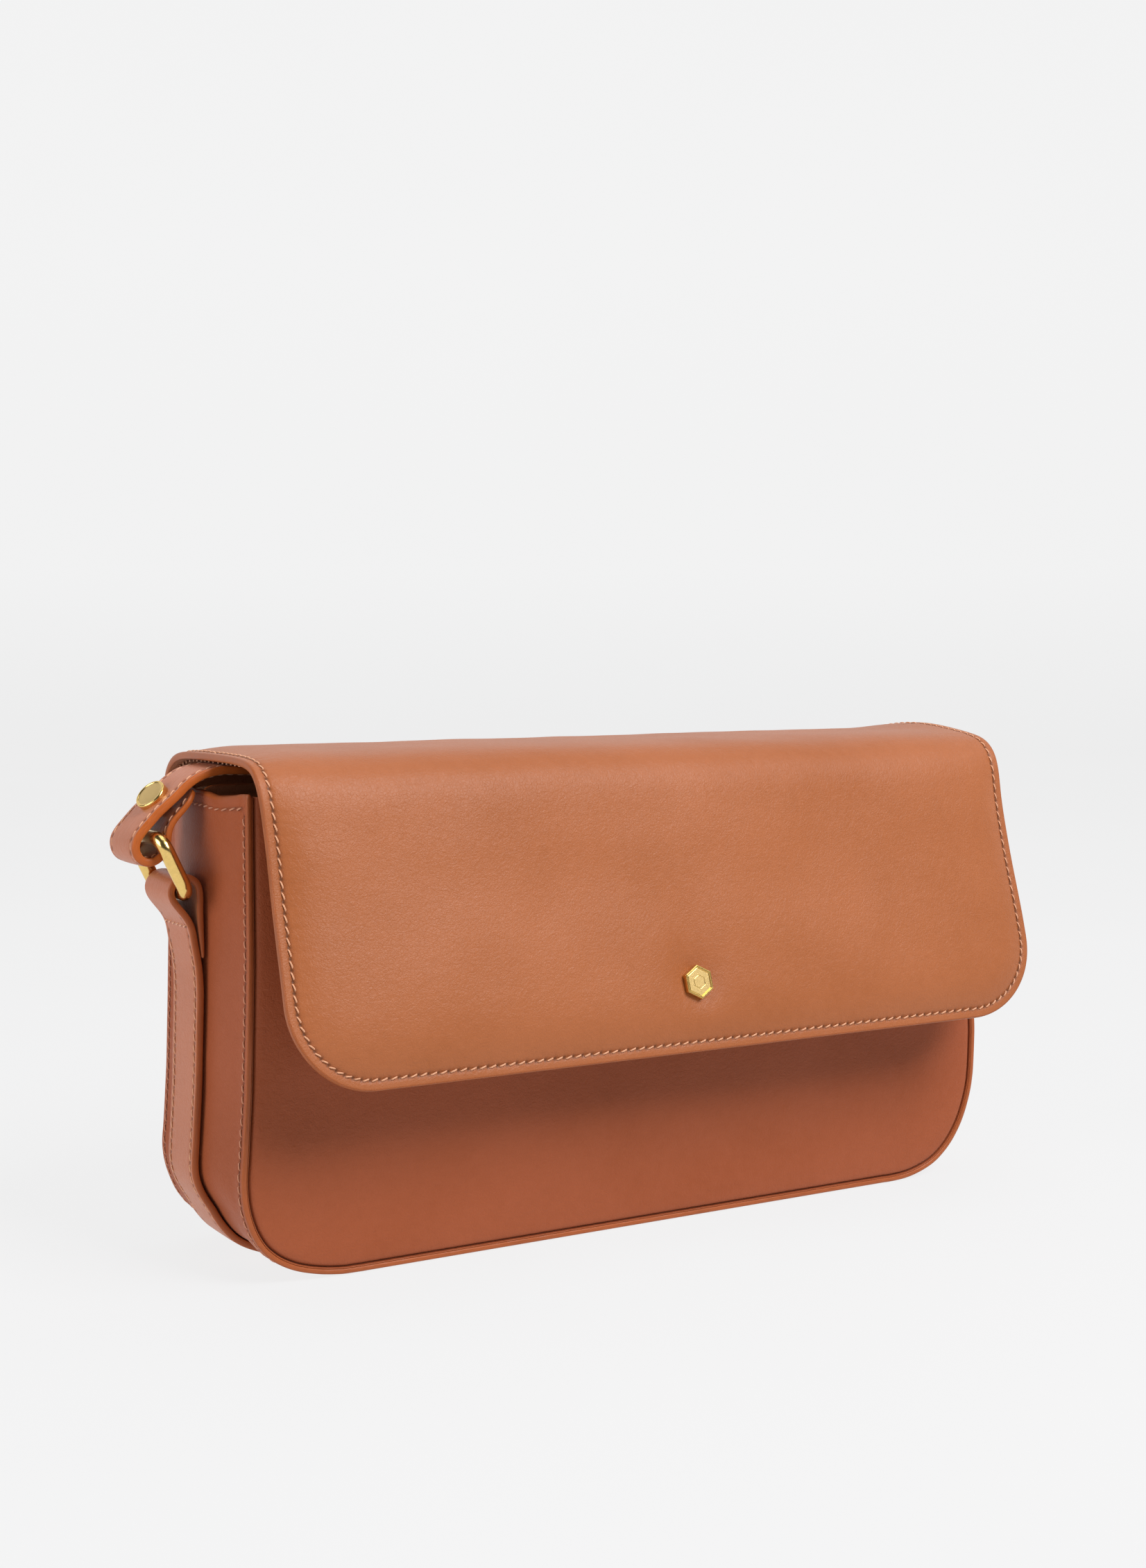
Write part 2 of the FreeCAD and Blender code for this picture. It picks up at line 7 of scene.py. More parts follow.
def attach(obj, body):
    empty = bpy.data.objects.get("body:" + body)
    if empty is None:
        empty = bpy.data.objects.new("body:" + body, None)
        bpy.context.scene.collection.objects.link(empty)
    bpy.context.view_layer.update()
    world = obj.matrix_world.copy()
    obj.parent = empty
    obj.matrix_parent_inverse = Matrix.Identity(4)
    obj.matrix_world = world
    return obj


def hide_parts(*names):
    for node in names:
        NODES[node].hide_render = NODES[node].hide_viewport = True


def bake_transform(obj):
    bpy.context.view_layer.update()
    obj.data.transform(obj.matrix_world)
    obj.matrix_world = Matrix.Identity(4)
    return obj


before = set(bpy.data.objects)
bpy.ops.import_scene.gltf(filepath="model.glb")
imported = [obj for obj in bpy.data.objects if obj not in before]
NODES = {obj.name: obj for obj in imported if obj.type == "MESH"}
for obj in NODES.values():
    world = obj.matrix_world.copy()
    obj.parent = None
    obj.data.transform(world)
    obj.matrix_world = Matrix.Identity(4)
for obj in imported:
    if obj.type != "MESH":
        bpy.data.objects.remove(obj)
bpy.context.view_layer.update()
MM = 0.001
rng = np.random.default_rng(7)

# ------------------------------------------------------------------------------------
# curves
# ------------------------------------------------------------------------------------


class Path:
    """A smooth 2-D curve through points, in millimetres, read by arc length."""

    def __init__(self, pts, n=6000):
        p = np.array(pts, float)
        k = len(p)
        u = np.r_[0, np.cumsum(np.linalg.norm(np.diff(p, axis=0), axis=1) ** 0.5)]
        h = np.diff(u)
        a = np.zeros((k, k))
        b = np.zeros((k, 2))
        a[0, 0] = a[-1, -1] = 1
        for i in range(1, k - 1):
            a[i, i - 1] = h[i - 1]
            a[i, i] = 2 * (h[i - 1] + h[i])
            a[i, i + 1] = h[i]
            b[i] = 6 * ((p[i + 1] - p[i]) / h[i] - (p[i] - p[i - 1]) / h[i - 1])
        m = np.linalg.solve(a, b)
        uu = np.linspace(0, u[-1], n)
        i = np.clip(np.searchsorted(u, uu, side="right") - 1, 0, k - 2)
        d = (uu - u[i])[:, None]
        hi = h[i][:, None]
        q = (p[i] + d * ((p[i + 1] - p[i]) / hi - hi * (2 * m[i] + m[i + 1]) / 6)
             + d ** 2 * m[i] / 2 + d ** 3 * (m[i + 1] - m[i]) / (6 * hi))
        self._set(q)

    def _set(self, q):
        self.q = q
        self.s = np.r_[0, np.cumsum(np.linalg.norm(np.diff(q, axis=0), axis=1))]
        self.length = self.s[-1]
        t = np.gradient(q, self.s, axis=0)
        self.t = t / np.linalg.norm(t, axis=1)[:, None]

    @classmethod
    def dense(cls, q):
        o = cls.__new__(cls)
        o._set(np.array(q, float))
        return o

    def at(self, s):
        """(points, unit tangents) at arc lengths s; straight on past the ends."""
        s = np.asarray(s, float)
        c = np.clip(s, 0, self.length)
        p = np.stack([np.interp(c, self.s, self.q[:, k]) for k in (0, 1)], -1)
        t = np.stack([np.interp(c, self.s, self.t[:, k]) for k in (0, 1)], -1)
        t /= np.linalg.norm(t, axis=-1)[..., None]
        return p + t * (s - c)[..., None], t

    def where(self, axis, value, lo=0.0, hi=1.0):
        """arc length at which a coordinate is nearest to value, between two shares of the length."""
        m = (self.s >= lo * self.length) & (self.s <= hi * self.length)
        i = np.argmin(np.where(m, np.abs(self.q[:, axis] - value), 1e9))
        return self.s[i]


def smooth(x, a, b):
    t = np.clip((x - a) / (b - a), 0, 1)
    return t * t * (3 - 2 * t)


def gauss(x, c, w):
    return np.exp(-((x - c) / w) ** 2)


class Waves:
    """Smooth seeded 2-D unevenness: a few sine waves of about one wavelength."""

    def __init__(self, seed, wavelength, n=9):
        r = np.random.default_rng(seed)
        ang = r.uniform(0, 2 * math.pi, n)
        k = 2 * math.pi / (wavelength * r.uniform(0.7, 1.5, n))
        self.kx, self.ky = k * np.cos(ang), k * np.sin(ang)
        self.ph = r.uniform(0, 2 * math.pi, n)
        self.n = n

    def __call__(self, x, y):
        out = 0
        for kx, ky, ph in zip(self.kx, self.ky, self.ph):
            out = out + np.sin(kx * x + ky * y + ph)
        return out / math.sqrt(self.n / 2) / 1.6


# ------------------------------------------------------------------------------------
# meshes
# ------------------------------------------------------------------------------------


def make_mesh(name, verts, faces, mats=(), mat_index=None, p0=None, normals=None, smooth_shade=True, painted_shade=None):
    me = bpy.data.meshes.new(name)
    me.from_pydata([tuple(v) for v in (np.asarray(verts) * MM).tolist()], [], faces)
    me.update()
    for m in mats:
        me.materials.append(m)
    if mat_index is not None:
        me.polygons.foreach_set("material_index", np.asarray(mat_index, np.int32))
    if smooth_shade:
        me.polygons.foreach_set("use_smooth", np.ones(len(me.polygons), bool))
    if p0 is not None:
        a = me.attributes.new("p0", "FLOAT_VECTOR", "POINT")
        a.data.foreach_set("vector", np.asarray(p0, np.float32).ravel())
    # painted shade: a per-vertex 0..1 value that the leather materials use to darken stitch holes and creases
    if painted_shade is not None:
        a = me.attributes.new("painted_shade", "FLOAT", "POINT")
        a.data.foreach_set("value", np.asarray(painted_shade, np.float32).ravel())
    me.update()
    if normals is not None:
        n = np.zeros(len(me.vertices) * 3, np.float32)
        me.vertices.foreach_get("normal", n)
        n = n.reshape(-1, 3)
        idx, vec = normals
        n[idx] = vec
        me.normals_split_custom_set_from_vertices(n.tolist())
    o = bpy.data.objects.new(name, me)
    bpy.context.scene.collection.objects.link(o)
    return o


def edge_profile(half, n=7, power=0.62):
    """Rounded-edge profile from the face side to the back: (how far in from the outermost
    line, height above mid thickness), without its two end points."""
    out = []
    for k in range(1, n):
        a = math.pi * k / n
        out.append((half * (1 - abs(math.sin(a)) ** power), half * math.copysign(abs(math.cos(a)) ** power, math.cos(a))))
    return out


def ribbon(name, P, N, B, width, top, back, mats, half_w=None, seg_edge=6, vs=None, caps=True, p0s=None, edge_in=0.6,
           shift=None, round_ends=(0.0, 0.0), painted_shade=None):
    """A flat strip: P centre points, N outward normals, B lateral unit vectors per station.
    top(i, v) and back(i, v) give the face and back heights above the centre surface.
    shift(i, v) moves the centre surface, and round_ends rounds the cut ends."""
    n = len(P)
    top0, back0 = top, back
    dist = np.r_[0, np.cumsum(np.linalg.norm(np.diff(P, axis=0), axis=1))] if p0s is None else p0s
    sc = np.ones(n)
    for e, r in zip((dist - dist[0], dist[-1] - dist), round_ends):
        if r > 0:
            sc = np.minimum(sc, np.sqrt(np.clip(1 - (1 - np.minimum(e / r, 1)) ** 2, 0.02, 1)))

    def top(i, lat):
        a, b = top0(i, lat), back0(i, lat)
        return (a + b) / 2 + (a - b) / 2 * sc

    def back(i, lat):
        a, b = top0(i, lat), back0(i, lat)
        return (a + b) / 2 - (a - b) / 2 * sc
    if vs is None:
        vs = np.linspace(-1, 1, 25)
    hw = (np.full(n, width / 2.0) if half_w is None else np.asarray(half_w, float))
    loops = []
    I = np.arange(n)
    tv = []
    for v in vs:                                   # face side
        lat = v * (hw - edge_in)
        tv.append((lat, top(I, lat), 0))
    tl = hw - edge_in
    te = top(I, tl)
    be = back(I, tl)
    mid, hh = (te + be) / 2, (te - be) / 2
    for k in range(1, seg_edge):
        a = math.pi * k / seg_edge
        x = tl + edge_in * abs(math.sin(a)) ** 0.7
        tv.append((x, mid + hh * math.copysign(abs(math.cos(a)) ** 0.7, math.cos(a)), 1))
    for v in vs[::-1]:
        lat = v * (hw - edge_in)
        tv.append((lat, back(I, lat), 2))
    tl2 = -tl
    te, be = top(I, tl2), back(I, tl2)
    mid, hh = (te + be) / 2, (te - be) / 2
    for k in range(1, seg_edge):
        a = math.pi * (1 - k / seg_edge)
        x = tl2 - edge_in * abs(math.sin(a)) ** 0.7
        tv.append((x, mid + hh * math.copysign(abs(math.cos(a)) ** 0.7, math.cos(a)), 1))
    m = len(tv)
    V = np.zeros((n, m, 3))
    p0 = np.zeros((n, m, 3))
    painted_shade_vals = np.zeros((n, m))
    seg = np.r_[0, np.cumsum(np.linalg.norm(np.diff(P, axis=0), axis=1))] if p0s is None else p0s
    kind = []
    run = 0.0
    for j, (lat, h, kd) in enumerate(tv):
        V[:, j] = P + B * np.broadcast_to(lat, (n,))[:, None] + N * np.broadcast_to(h, (n,))[:, None]
        if shift is not None:
            V[:, j] += shift(I, np.broadcast_to(lat, (n,)))
        p0[:, j, 0] = seg
        p0[:, j, 1] = lat
        p0[:, j, 2] = h + (40 if kd == 2 else 0)
        # painted shade in stitch holes, sampled per vertex from the given function
        if painted_shade is not None and kd != 1:
            painted_shade_vals[:, j] = painted_shade(I, np.broadcast_to(lat, (n,)))
        kind.append(kd)
    faces, mi = [], []
    for i in range(n - 1):
        for j in range(m):
            k = (j + 1) % m
            faces.append((i * m + j, i * m + k, (i + 1) * m + k, (i + 1) * m + j))
            a, b = kind[j], kind[k]
            mi.append(a if a == b and sc[i] > 0.93 else 1)
    verts = V.reshape(-1, 3)
    pp = p0.reshape(-1, 3)
    if caps:
        faces.append(tuple(range(m - 1, -1, -1)))
        mi.append(1)
        faces.append(tuple((n - 1) * m + j for j in range(m)))
        mi.append(1)
    return make_mesh(name, verts, faces, mats, mi, pp, painted_shade=painted_shade_vals)


def panel(name, B2, closed, insets, height, F, thick, mats, spacing=3.0, back_h=None, split_line=None,
          edge=0.7, flip=False, Ls=None, weight=None, rim=0.0, close_split=False, painted_shade=None):
    """A leather panel over a 2-D outline. B2: outline points (s, t), the inside on their left.
    height(s, t, inset, L) is the face's height over the mapped surface F(s, t) -> (P, N).
    Rings follow the outline at the given insets, and a grid fills the middle."""
    B2 = np.asarray(B2, float)
    n = len(B2)
    if closed:
        d = np.roll(B2, -1, 0) - np.roll(B2, 1, 0)
    else:
        d = np.gradient(B2, axis=0)
    d /= np.linalg.norm(d, axis=1)[:, None]
    inward = np.stack([-d[:, 1], d[:, 0]], -1)
    if not closed:                                 # the open ends lie on the split line
        inward[0] = (1.0, 0.0) if B2[0, 0] < B2[-1, 0] else (-1.0, 0.0)
        inward[-1] = -inward[0]
    L = Ls if Ls is not None else np.r_[0, np.cumsum(np.linalg.norm(np.diff(B2, axis=0), axis=1))]
    rings = [B2 + inward * i for i in insets]
    last = rings[-1]
    # interior fill
    lo, hi = last.min(0), last.max(0)
    poly = last if closed else last
    xs = np.arange(math.floor(lo[0] / spacing) + 1, math.ceil(hi[0] / spacing)) * spacing
    ys = np.arange(math.floor(lo[1] / spacing) + 1, math.ceil(hi[1] / spacing)) * spacing
    gx, gy = np.meshgrid(xs, ys)
    g = np.stack([gx.ravel(), gy.ravel()], -1)
    extra = []
    if split_line is not None:
        a, b = last[-1], last[0]
        cnt = max(2, int(round(np.linalg.norm(b - a) / spacing)))
        extra = [a + (b - a) * k / cnt for k in range(1, cnt)]
    outline = np.vstack([last] + ([np.array(extra)] if len(extra) else []))
    # keep grid points inside the outline and not too close to it
    inside = np.zeros(len(g), bool)
    x, y = g[:, 0], g[:, 1]
    m = len(outline)
    near = np.full(len(g), 1e9)
    for k in range(m):
        x1, y1 = outline[k]
        x2, y2 = outline[(k + 1) % m]
        c = ((y1 > y) != (y2 > y))
        with np.errstate(divide="ignore", invalid="ignore"):
            xi = (x2 - x1) * (y - y1) / (y2 - y1 if y2 != y1 else 1e-12) + x1
        inside ^= c & (x < xi)
        dx, dy = x2 - x1, y2 - y1
        tt = np.clip(((x - x1) * dx + (y - y1) * dy) / (dx * dx + dy * dy + 1e-12), 0, 1)
        near = np.minimum(near, np.hypot(x - x1 - tt * dx, y - y1 - tt * dy))
    g = g[inside & (near > spacing * 0.55)]
    pts2 = np.vstack([outline, g])
    edges = [(k, (k + 1) % m) for k in range(m)]
    res = geometry.delaunay_2d_cdt([Vector(p) for p in pts2], edges, [tuple(range(m))], 1, 1e-7)
    tri = [list(f) for f in res[2]]
    co = np.array([tuple(v) for v in res[0]])
    if len(co) != len(pts2):
        raise RuntimeError(name + ": the outline crosses itself or repeats points: %d %d" % (len(co), len(pts2)))
    # CDT keeps input order for inputs without duplicates
    R = len(insets)
    S = np.vstack(rings[:-1] + [pts2])
    base = (R - 1) * n
    ins = np.concatenate([np.full(n, i) for i in insets[:-1]] + [np.full(n, insets[-1]), np.full(len(pts2) - n, insets[-1] + spacing)])
    LL = np.concatenate([L] * R + [np.zeros(len(pts2) - n)])
    WW = None if weight is None else np.concatenate([weight] * R + [np.ones(len(pts2) - n)])
    P, N = F(S[:, 0], S[:, 1])
    args = (S[:, 0], S[:, 1], ins, LL) + (() if WW is None else (WW,))
    H = height(*args)
    top = P + N * H[:, None]
    nt = len(top)
    faces, mi = [], []
    seg = n if closed else n - 1
    for r in range(R - 1):
        for k in range(seg):
            a, b = r * n + k, r * n + (k + 1) % n
            faces.append((a, b, b + n, a + n))
            mi.append(1 if insets[r + 1] <= rim else 0)
    for f in tri:
        a, b, c = co[f[0]], co[f[1]], co[f[2]]
        area = (b[0] - a[0]) * (c[1] - a[1]) - (b[1] - a[1]) * (c[0] - a[0])
        f = f if area > 0 else f[::-1]
        faces.append(tuple(base + q for q in f))
        mi.append(0)
    nf = len(faces)
    # back side: the same net, turned over
    T = thick(*args) if callable(thick) else np.full(nt, float(thick))
    bh = (np.zeros(nt) if back_h is None else back_h(*args)) - T
    bot = P + N * bh[:, None]
    faces += [tuple(nt + q for q in f[::-1]) for f in faces[:nf]]
    mi += [2] * nf
    # edge between ring 0 of the face and ring 0 of the back
    Pe, Ne = F(B2[:, 0], B2[:, 1])
    inw3 = F(B2[:, 0] + inward[:, 0] * 0.05, B2[:, 1] + inward[:, 1] * 0.05)[0] - Pe
    inw3 /= np.linalg.norm(inw3, axis=1)[:, None]
    h0, b0 = H[:n], bh[:n]
    mid, half = (h0 + b0) / 2, (h0 - b0) / 2
    steps = 7
    ev, er = [], []
    for k in range(1, steps):
        a = math.pi * k / steps
        out = edge * abs(math.sin(a)) ** 0.75
        hh = mid + half * math.copysign(abs(math.cos(a)) ** 0.75, math.cos(a))
        ev.append(P[:n] + Ne * hh[:, None] - inw3 * out)
        er.append(hh)
    ebase = 2 * nt
    allv = np.vstack([top, bot] + ev)
    rows = [np.arange(n)] + [ebase + r * n + np.arange(n) for r in range(steps - 1)] + [nt + np.arange(n)]
    for r in range(len(rows) - 1):
        for k in range(seg):
            k2 = (k + 1) % n
            faces.append((rows[r][k2], rows[r][k], rows[r + 1][k], rows[r + 1][k2]))
            mi.append(1)
    if close_split:                                # a turned edge along the straight open end
        seq = [r * n + n - 1 for r in range(R - 1)] + [base + n - 1] + [base + n + j for j in range(len(extra))] + [base] + [r * n for r in range(R - 2, -1, -1)]
        seq = np.array(seq)
        Pt = F(S[seq, 0], S[seq, 1] + 0.05)[0] - P[seq]
        Pt /= np.linalg.norm(Pt, axis=1)[:, None]
        h0, b0 = H[seq], bh[seq]
        mid2, half2 = (h0 + b0) / 2, (h0 - b0) / 2
        off = len(allv)
        wall = [seq]
        more = []
        for k in range(1, steps):
            a = math.pi * k / steps
            more.append(P[seq] + N[seq] * (mid2 + half2 * math.copysign(abs(math.cos(a)) ** 0.75, math.cos(a)))[:, None] + Pt * edge * abs(math.sin(a)) ** 0.75)
            wall.append(off + (k - 1) * len(seq) + np.arange(len(seq)))
        wall.append(nt + seq)
        allv = np.vstack([allv] + more)
        for r in range(len(wall) - 1):
            for k in range(len(seq) - 1):
                faces.append((wall[r][k + 1], wall[r][k], wall[r + 1][k], wall[r + 1][k + 1]))
                mi.append(1)
    p0 = np.zeros((len(allv), 3))
    if close_split:
        p0[off:] = allv[off:] + (0, 0, 300)
    p0[:nt, :2] = S
    p0[:nt, 2] = H
    p0[nt:2 * nt, :2] = S
    p0[nt:2 * nt, 2] = bh + 40
    for r in range(steps - 1):
        p0[ebase + r * n:ebase + (r + 1) * n, 0] = L
        p0[ebase + r * n:ebase + (r + 1) * n, 1] = 500 + er[r]
        p0[ebase + r * n:ebase + (r + 1) * n, 2] = 20
    if flip:
        faces = [tuple(int(q) for q in f[::-1]) for f in faces]
    else:
        faces = [tuple(int(q) for q in f) for f in faces]
    # painted shade in stitch holes and creases, copied to the back side
    painted_shade_vals = np.zeros(len(allv))
    if painted_shade is not None:
        painted_shade_vals[:nt] = painted_shade(*args)
        painted_shade_vals[nt:2 * nt] = painted_shade_vals[:nt]
    o = make_mesh(name, allv, faces, mats, mi, p0, painted_shade=painted_shade_vals)
    # matching normals along the split line
    if split_line is not None and not close_split:
        t0 = split_line
        me = o.data
        nv = np.zeros(len(me.vertices) * 3, np.float32)
        me.vertices.foreach_get("normal", nv)
        nv = nv.reshape(-1, 3)
        e = 0.4
        sel = np.where(np.abs(S[:, 1] - t0) < 1e-4)[0]
        if len(sel):
            s = S[sel, 0]
            def surf(ss, tt, hf, sign):
                PP, NN = F(ss, tt)
                a = (ss, tt, ins[sel], LL[sel]) + (() if WW is None else (WW[sel],))
                return PP + NN * hf(*a)[:, None]
            for hf, off, sign in ((height, 0, 1),
                                  ((lambda *a: (0 if back_h is None else back_h(*a)) - (thick(*a) if callable(thick) else float(thick)) + 0 * a[0]), nt, -1)):
                ds = surf(s + e, s * 0 + t0, hf, 1) - surf(s - e, s * 0 + t0, hf, 1)
                dt = surf(s, s * 0 + t0 + e, hf, 1) - surf(s, s * 0 + t0 - e, hf, 1)
                nn = np.cross(ds, dt)
                nn /= np.linalg.norm(nn, axis=1)[:, None]
                # for ring points keep the mesh's own normal's lateral lean
                ref = nv[off + sel]
                sg = np.sign((nn * ref).sum(1))[:, None]
                nv[off + sel] = nn * sg
            me.normals_split_custom_set_from_vertices(nv.tolist())
    return o


def outline_points(corners, spacing):
    """Points along a polyline with rounded corners: corners = [(x, y, radius)], open."""
    pts = []
    c = [np.array(q[:2], float) for q in corners]
    r = [q[2] for q in corners]
    segs = []
    start = c[0]
    for i in range(1, len(c) - 1):
        u = (c[i] - c[i - 1]) / np.linalg.norm(c[i] - c[i - 1])
        v = (c[i + 1] - c[i]) / np.linalg.norm(c[i + 1] - c[i])
        if r[i] <= 0:
            segs.append(("l", start, c[i]))
            start = c[i]
            continue
        ang = math.atan2(u[0] * v[1] - u[1] * v[0], u @ v)
        t = r[i] * math.tan(abs(ang) / 2)
        a, b = c[i] - u * t, c[i] + v * t
        segs.append(("l", start, a))
        sg = 1 if ang > 0 else -1
        ctr = a + np.array([-u[1], u[0]]) * r[i] * sg
        segs.append(("a", ctr, r[i], math.atan2(*(a - ctr)[::-1]), ang))
        start = b
    segs.append(("l", start, c[-1]))
    dense = []
    for s in segs:
        if s[0] == "l":
            ln = np.linalg.norm(s[2] - s[1])
            k = max(2, int(ln / 0.1))
            dense += [s[1] + (s[2] - s[1]) * q / k for q in range(k)]
        else:
            k = max(4, int(abs(s[4]) * s[2] / 0.1))
            dense += [s[1] + s[2] * np.array([math.cos(s[3] + s[4] * q / k), math.sin(s[3] + s[4] * q / k)]) for q in range(k)]
    dense.append(segs[-1][2])
    p = Path.dense(dense)
    n = max(4, int(round(p.length / spacing)))
    return p.at(np.linspace(0, p.length, n + 1))[0], p.length / n


# ------------------------------------------------------------------------------------
# stitches: each one a short waxed thread that rises from one hole and dives into the next
# ------------------------------------------------------------------------------------


def stitch_mesh(name, mat, rows, radius=0.22, lift=0.32, slant=-0.26, fill=0.62, sides=7):
    """rows: list of (hole points (k, 3), normals (k, 3)); one stitch per pair of neighbours."""
    A, Bp, NA, NB, T = [], [], [], [], []
    for pts, nor in rows:
        A.append(pts[:-1]); Bp.append(pts[1:]); NA.append(nor[:-1]); NB.append(nor[1:])
    A, Bp, NA, NB = map(np.vstack, (A, Bp, NA, NB))
    T = Bp - A
    ln = np.linalg.norm(T, axis=1)[:, None]
    T = T / ln
    N = NA + NB
    N -= T * (N * T).sum(1)[:, None]
    N /= np.linalg.norm(N, axis=1)[:, None]
    S = np.cross(T, N)
    k = len(A)
    r = np.random.default_rng(3)
    wob = r.uniform(-0.06, 0.06, (k, 3))
    M = (A + Bp) / 2
    # along (share of half length), height, lateral
    prof = [(-1.0, -0.42), (-0.97, -0.05), (-0.80, 0.6), (-0.42, 0.95), (0.0, 1.0), (0.42, 0.95), (0.80, 0.6), (0.97, -0.05), (1.0, -0.42)]
    C = []
    for a, h in prof:
        hh = h * lift if h > 0 else h
        C.append(M + T * (ln / 2 * fill * a) + N * (hh + wob[:, :1] * 0.5) + S * (slant * a * 1.2 + wob[:, 1:2]))
    C = np.stack(C, 1)                              # k, m, 3
    m = C.shape[1]
    tang = np.gradient(C, axis=1)
    tang /= np.linalg.norm(tang, axis=2)[:, :, None]
    side = np.broadcast_to(S[:, None], C.shape).copy()
    side -= tang * (side * tang).sum(2)[:, :, None]
    side /= np.linalg.norm(side, axis=2)[:, :, None]
    up = np.cross(side, tang)
    rad = radius * np.array([0.72, 0.84, 1, 1.05, 1.05, 1.05, 1, 0.84, 0.72])
    V = []
    for j in range(sides):
        a = 2 * math.pi * j / sides
        V.append(C + side * (math.cos(a) * rad * 1.08)[None, :, None] + up * (math.sin(a) * rad * 0.92)[None, :, None])
    V = np.stack(V, 2)                              # k, m, sides, 3
    per = m * sides
    tf = []
    for i in range(m - 1):
        for j in range(sides):
            q = (j + 1) % sides
            tf.append((i * sides + j, (i + 1) * sides + j, (i + 1) * sides + q, i * sides + q))
    caps = [tuple(range(sides)), tuple((m - 1) * sides + j for j in range(sides - 1, -1, -1))]
    faces = []
    for b in range(k):
        o = b * per
        faces += [tuple(o + q for q in f) for f in tf]
        faces += [tuple(o + q for q in f) for f in caps]
    p0 = np.zeros((k, m, sides, 3))
    p0[..., 0] = (np.arange(m) * 0.35)[None, :, None] + np.arange(k)[:, None, None] * 7.3
    p0[..., 1] = (np.arange(sides) * 0.25)[None, None, :]
    o = make_mesh(name, V.reshape(-1, 3), faces, [mat], None, p0.reshape(-1, 3))
    return o


# ------------------------------------------------------------------------------------
# materials
# ------------------------------------------------------------------------------------


def lin(r, g, b):
    def f(c):
        c /= 255
        return c / 12.92 if c <= 0.04045 else ((c + 0.055) / 1.055) ** 2.4
    return (f(r), f(g), f(b), 1)


def new_mat(name):
    m = bpy.data.materials.new(name)
    m.use_nodes = True
    nt = m.node_tree
    b = nt.nodes["Principled BSDF"]
    return m, nt, b


def coords(nt, attr=True):
    if attr:
        a = nt.nodes.new("ShaderNodeAttribute")
        a.attribute_name = "p0"
        return a.outputs["Vector"]
    t = nt.nodes.new("ShaderNodeTexCoord")
    mp = nt.nodes.new("ShaderNodeMapping")
    mp.inputs["Scale"].default_value = (1000, 1000, 1000)
    nt.links.new(t.outputs["Object"], mp.inputs["Vector"])
    return mp.outputs["Vector"]


def noise(nt, vec, scale, detail=3, rough=0.55, dist=0.0):
    n = nt.nodes.new("ShaderNodeTexNoise")
    n.inputs["Scale"].default_value = scale
    n.inputs["Detail"].default_value = detail
    n.inputs["Roughness"].default_value = rough
    n.inputs["Distortion"].default_value = dist
    nt.links.new(vec, n.inputs["Vector"])
    return n.outputs["Fac"]


def ramp(nt, fac, stops):
    r = nt.nodes.new("ShaderNodeValToRGB")
    r.color_ramp.elements[0].position = stops[0][0]
    r.color_ramp.elements[0].color = stops[0][1]
    r.color_ramp.elements[1].position = stops[-1][0]
    r.color_ramp.elements[1].color = stops[-1][1]
    for p, c in stops[1:-1]:
        e = r.color_ramp.elements.new(p)
        e.color = c
    nt.links.new(fac, r.inputs["Fac"])
    return r.outputs["Color"]


def maprange(nt, fac, a, b, c, d):
    m = nt.nodes.new("ShaderNodeMapRange")
    for k, v in zip(("From Min", "From Max", "To Min", "To Max"), (a, b, c, d)):
        m.inputs[k].default_value = v
    nt.links.new(fac, m.inputs["Value"])
    return m.outputs["Result"]


def mathn(nt, op, a, b=None, val=None):
    m = nt.nodes.new("ShaderNodeMath")
    m.operation = op
    nt.links.new(a, m.inputs[0])
    if b is not None:
        nt.links.new(b, m.inputs[1])
    if val is not None:
        m.inputs[1].default_value = val
    return m.outputs[0]


def bump(nt, height, dist, strength=1.0, prev=None):
    b = nt.nodes.new("ShaderNodeBump")
    b.inputs["Distance"].default_value = dist
    b.inputs["Strength"].default_value = strength
    nt.links.new(height, b.inputs["Height"])
    if prev is not None:
        nt.links.new(prev, b.inputs["Normal"])
    return b.outputs["Normal"]


def shade(c, k, sat=1.0):
    m = (c[0] + c[1] + c[2]) / 3
    return tuple(max(0.0, (m + (x - m) * sat) * k) for x in c[:3]) + (1,)


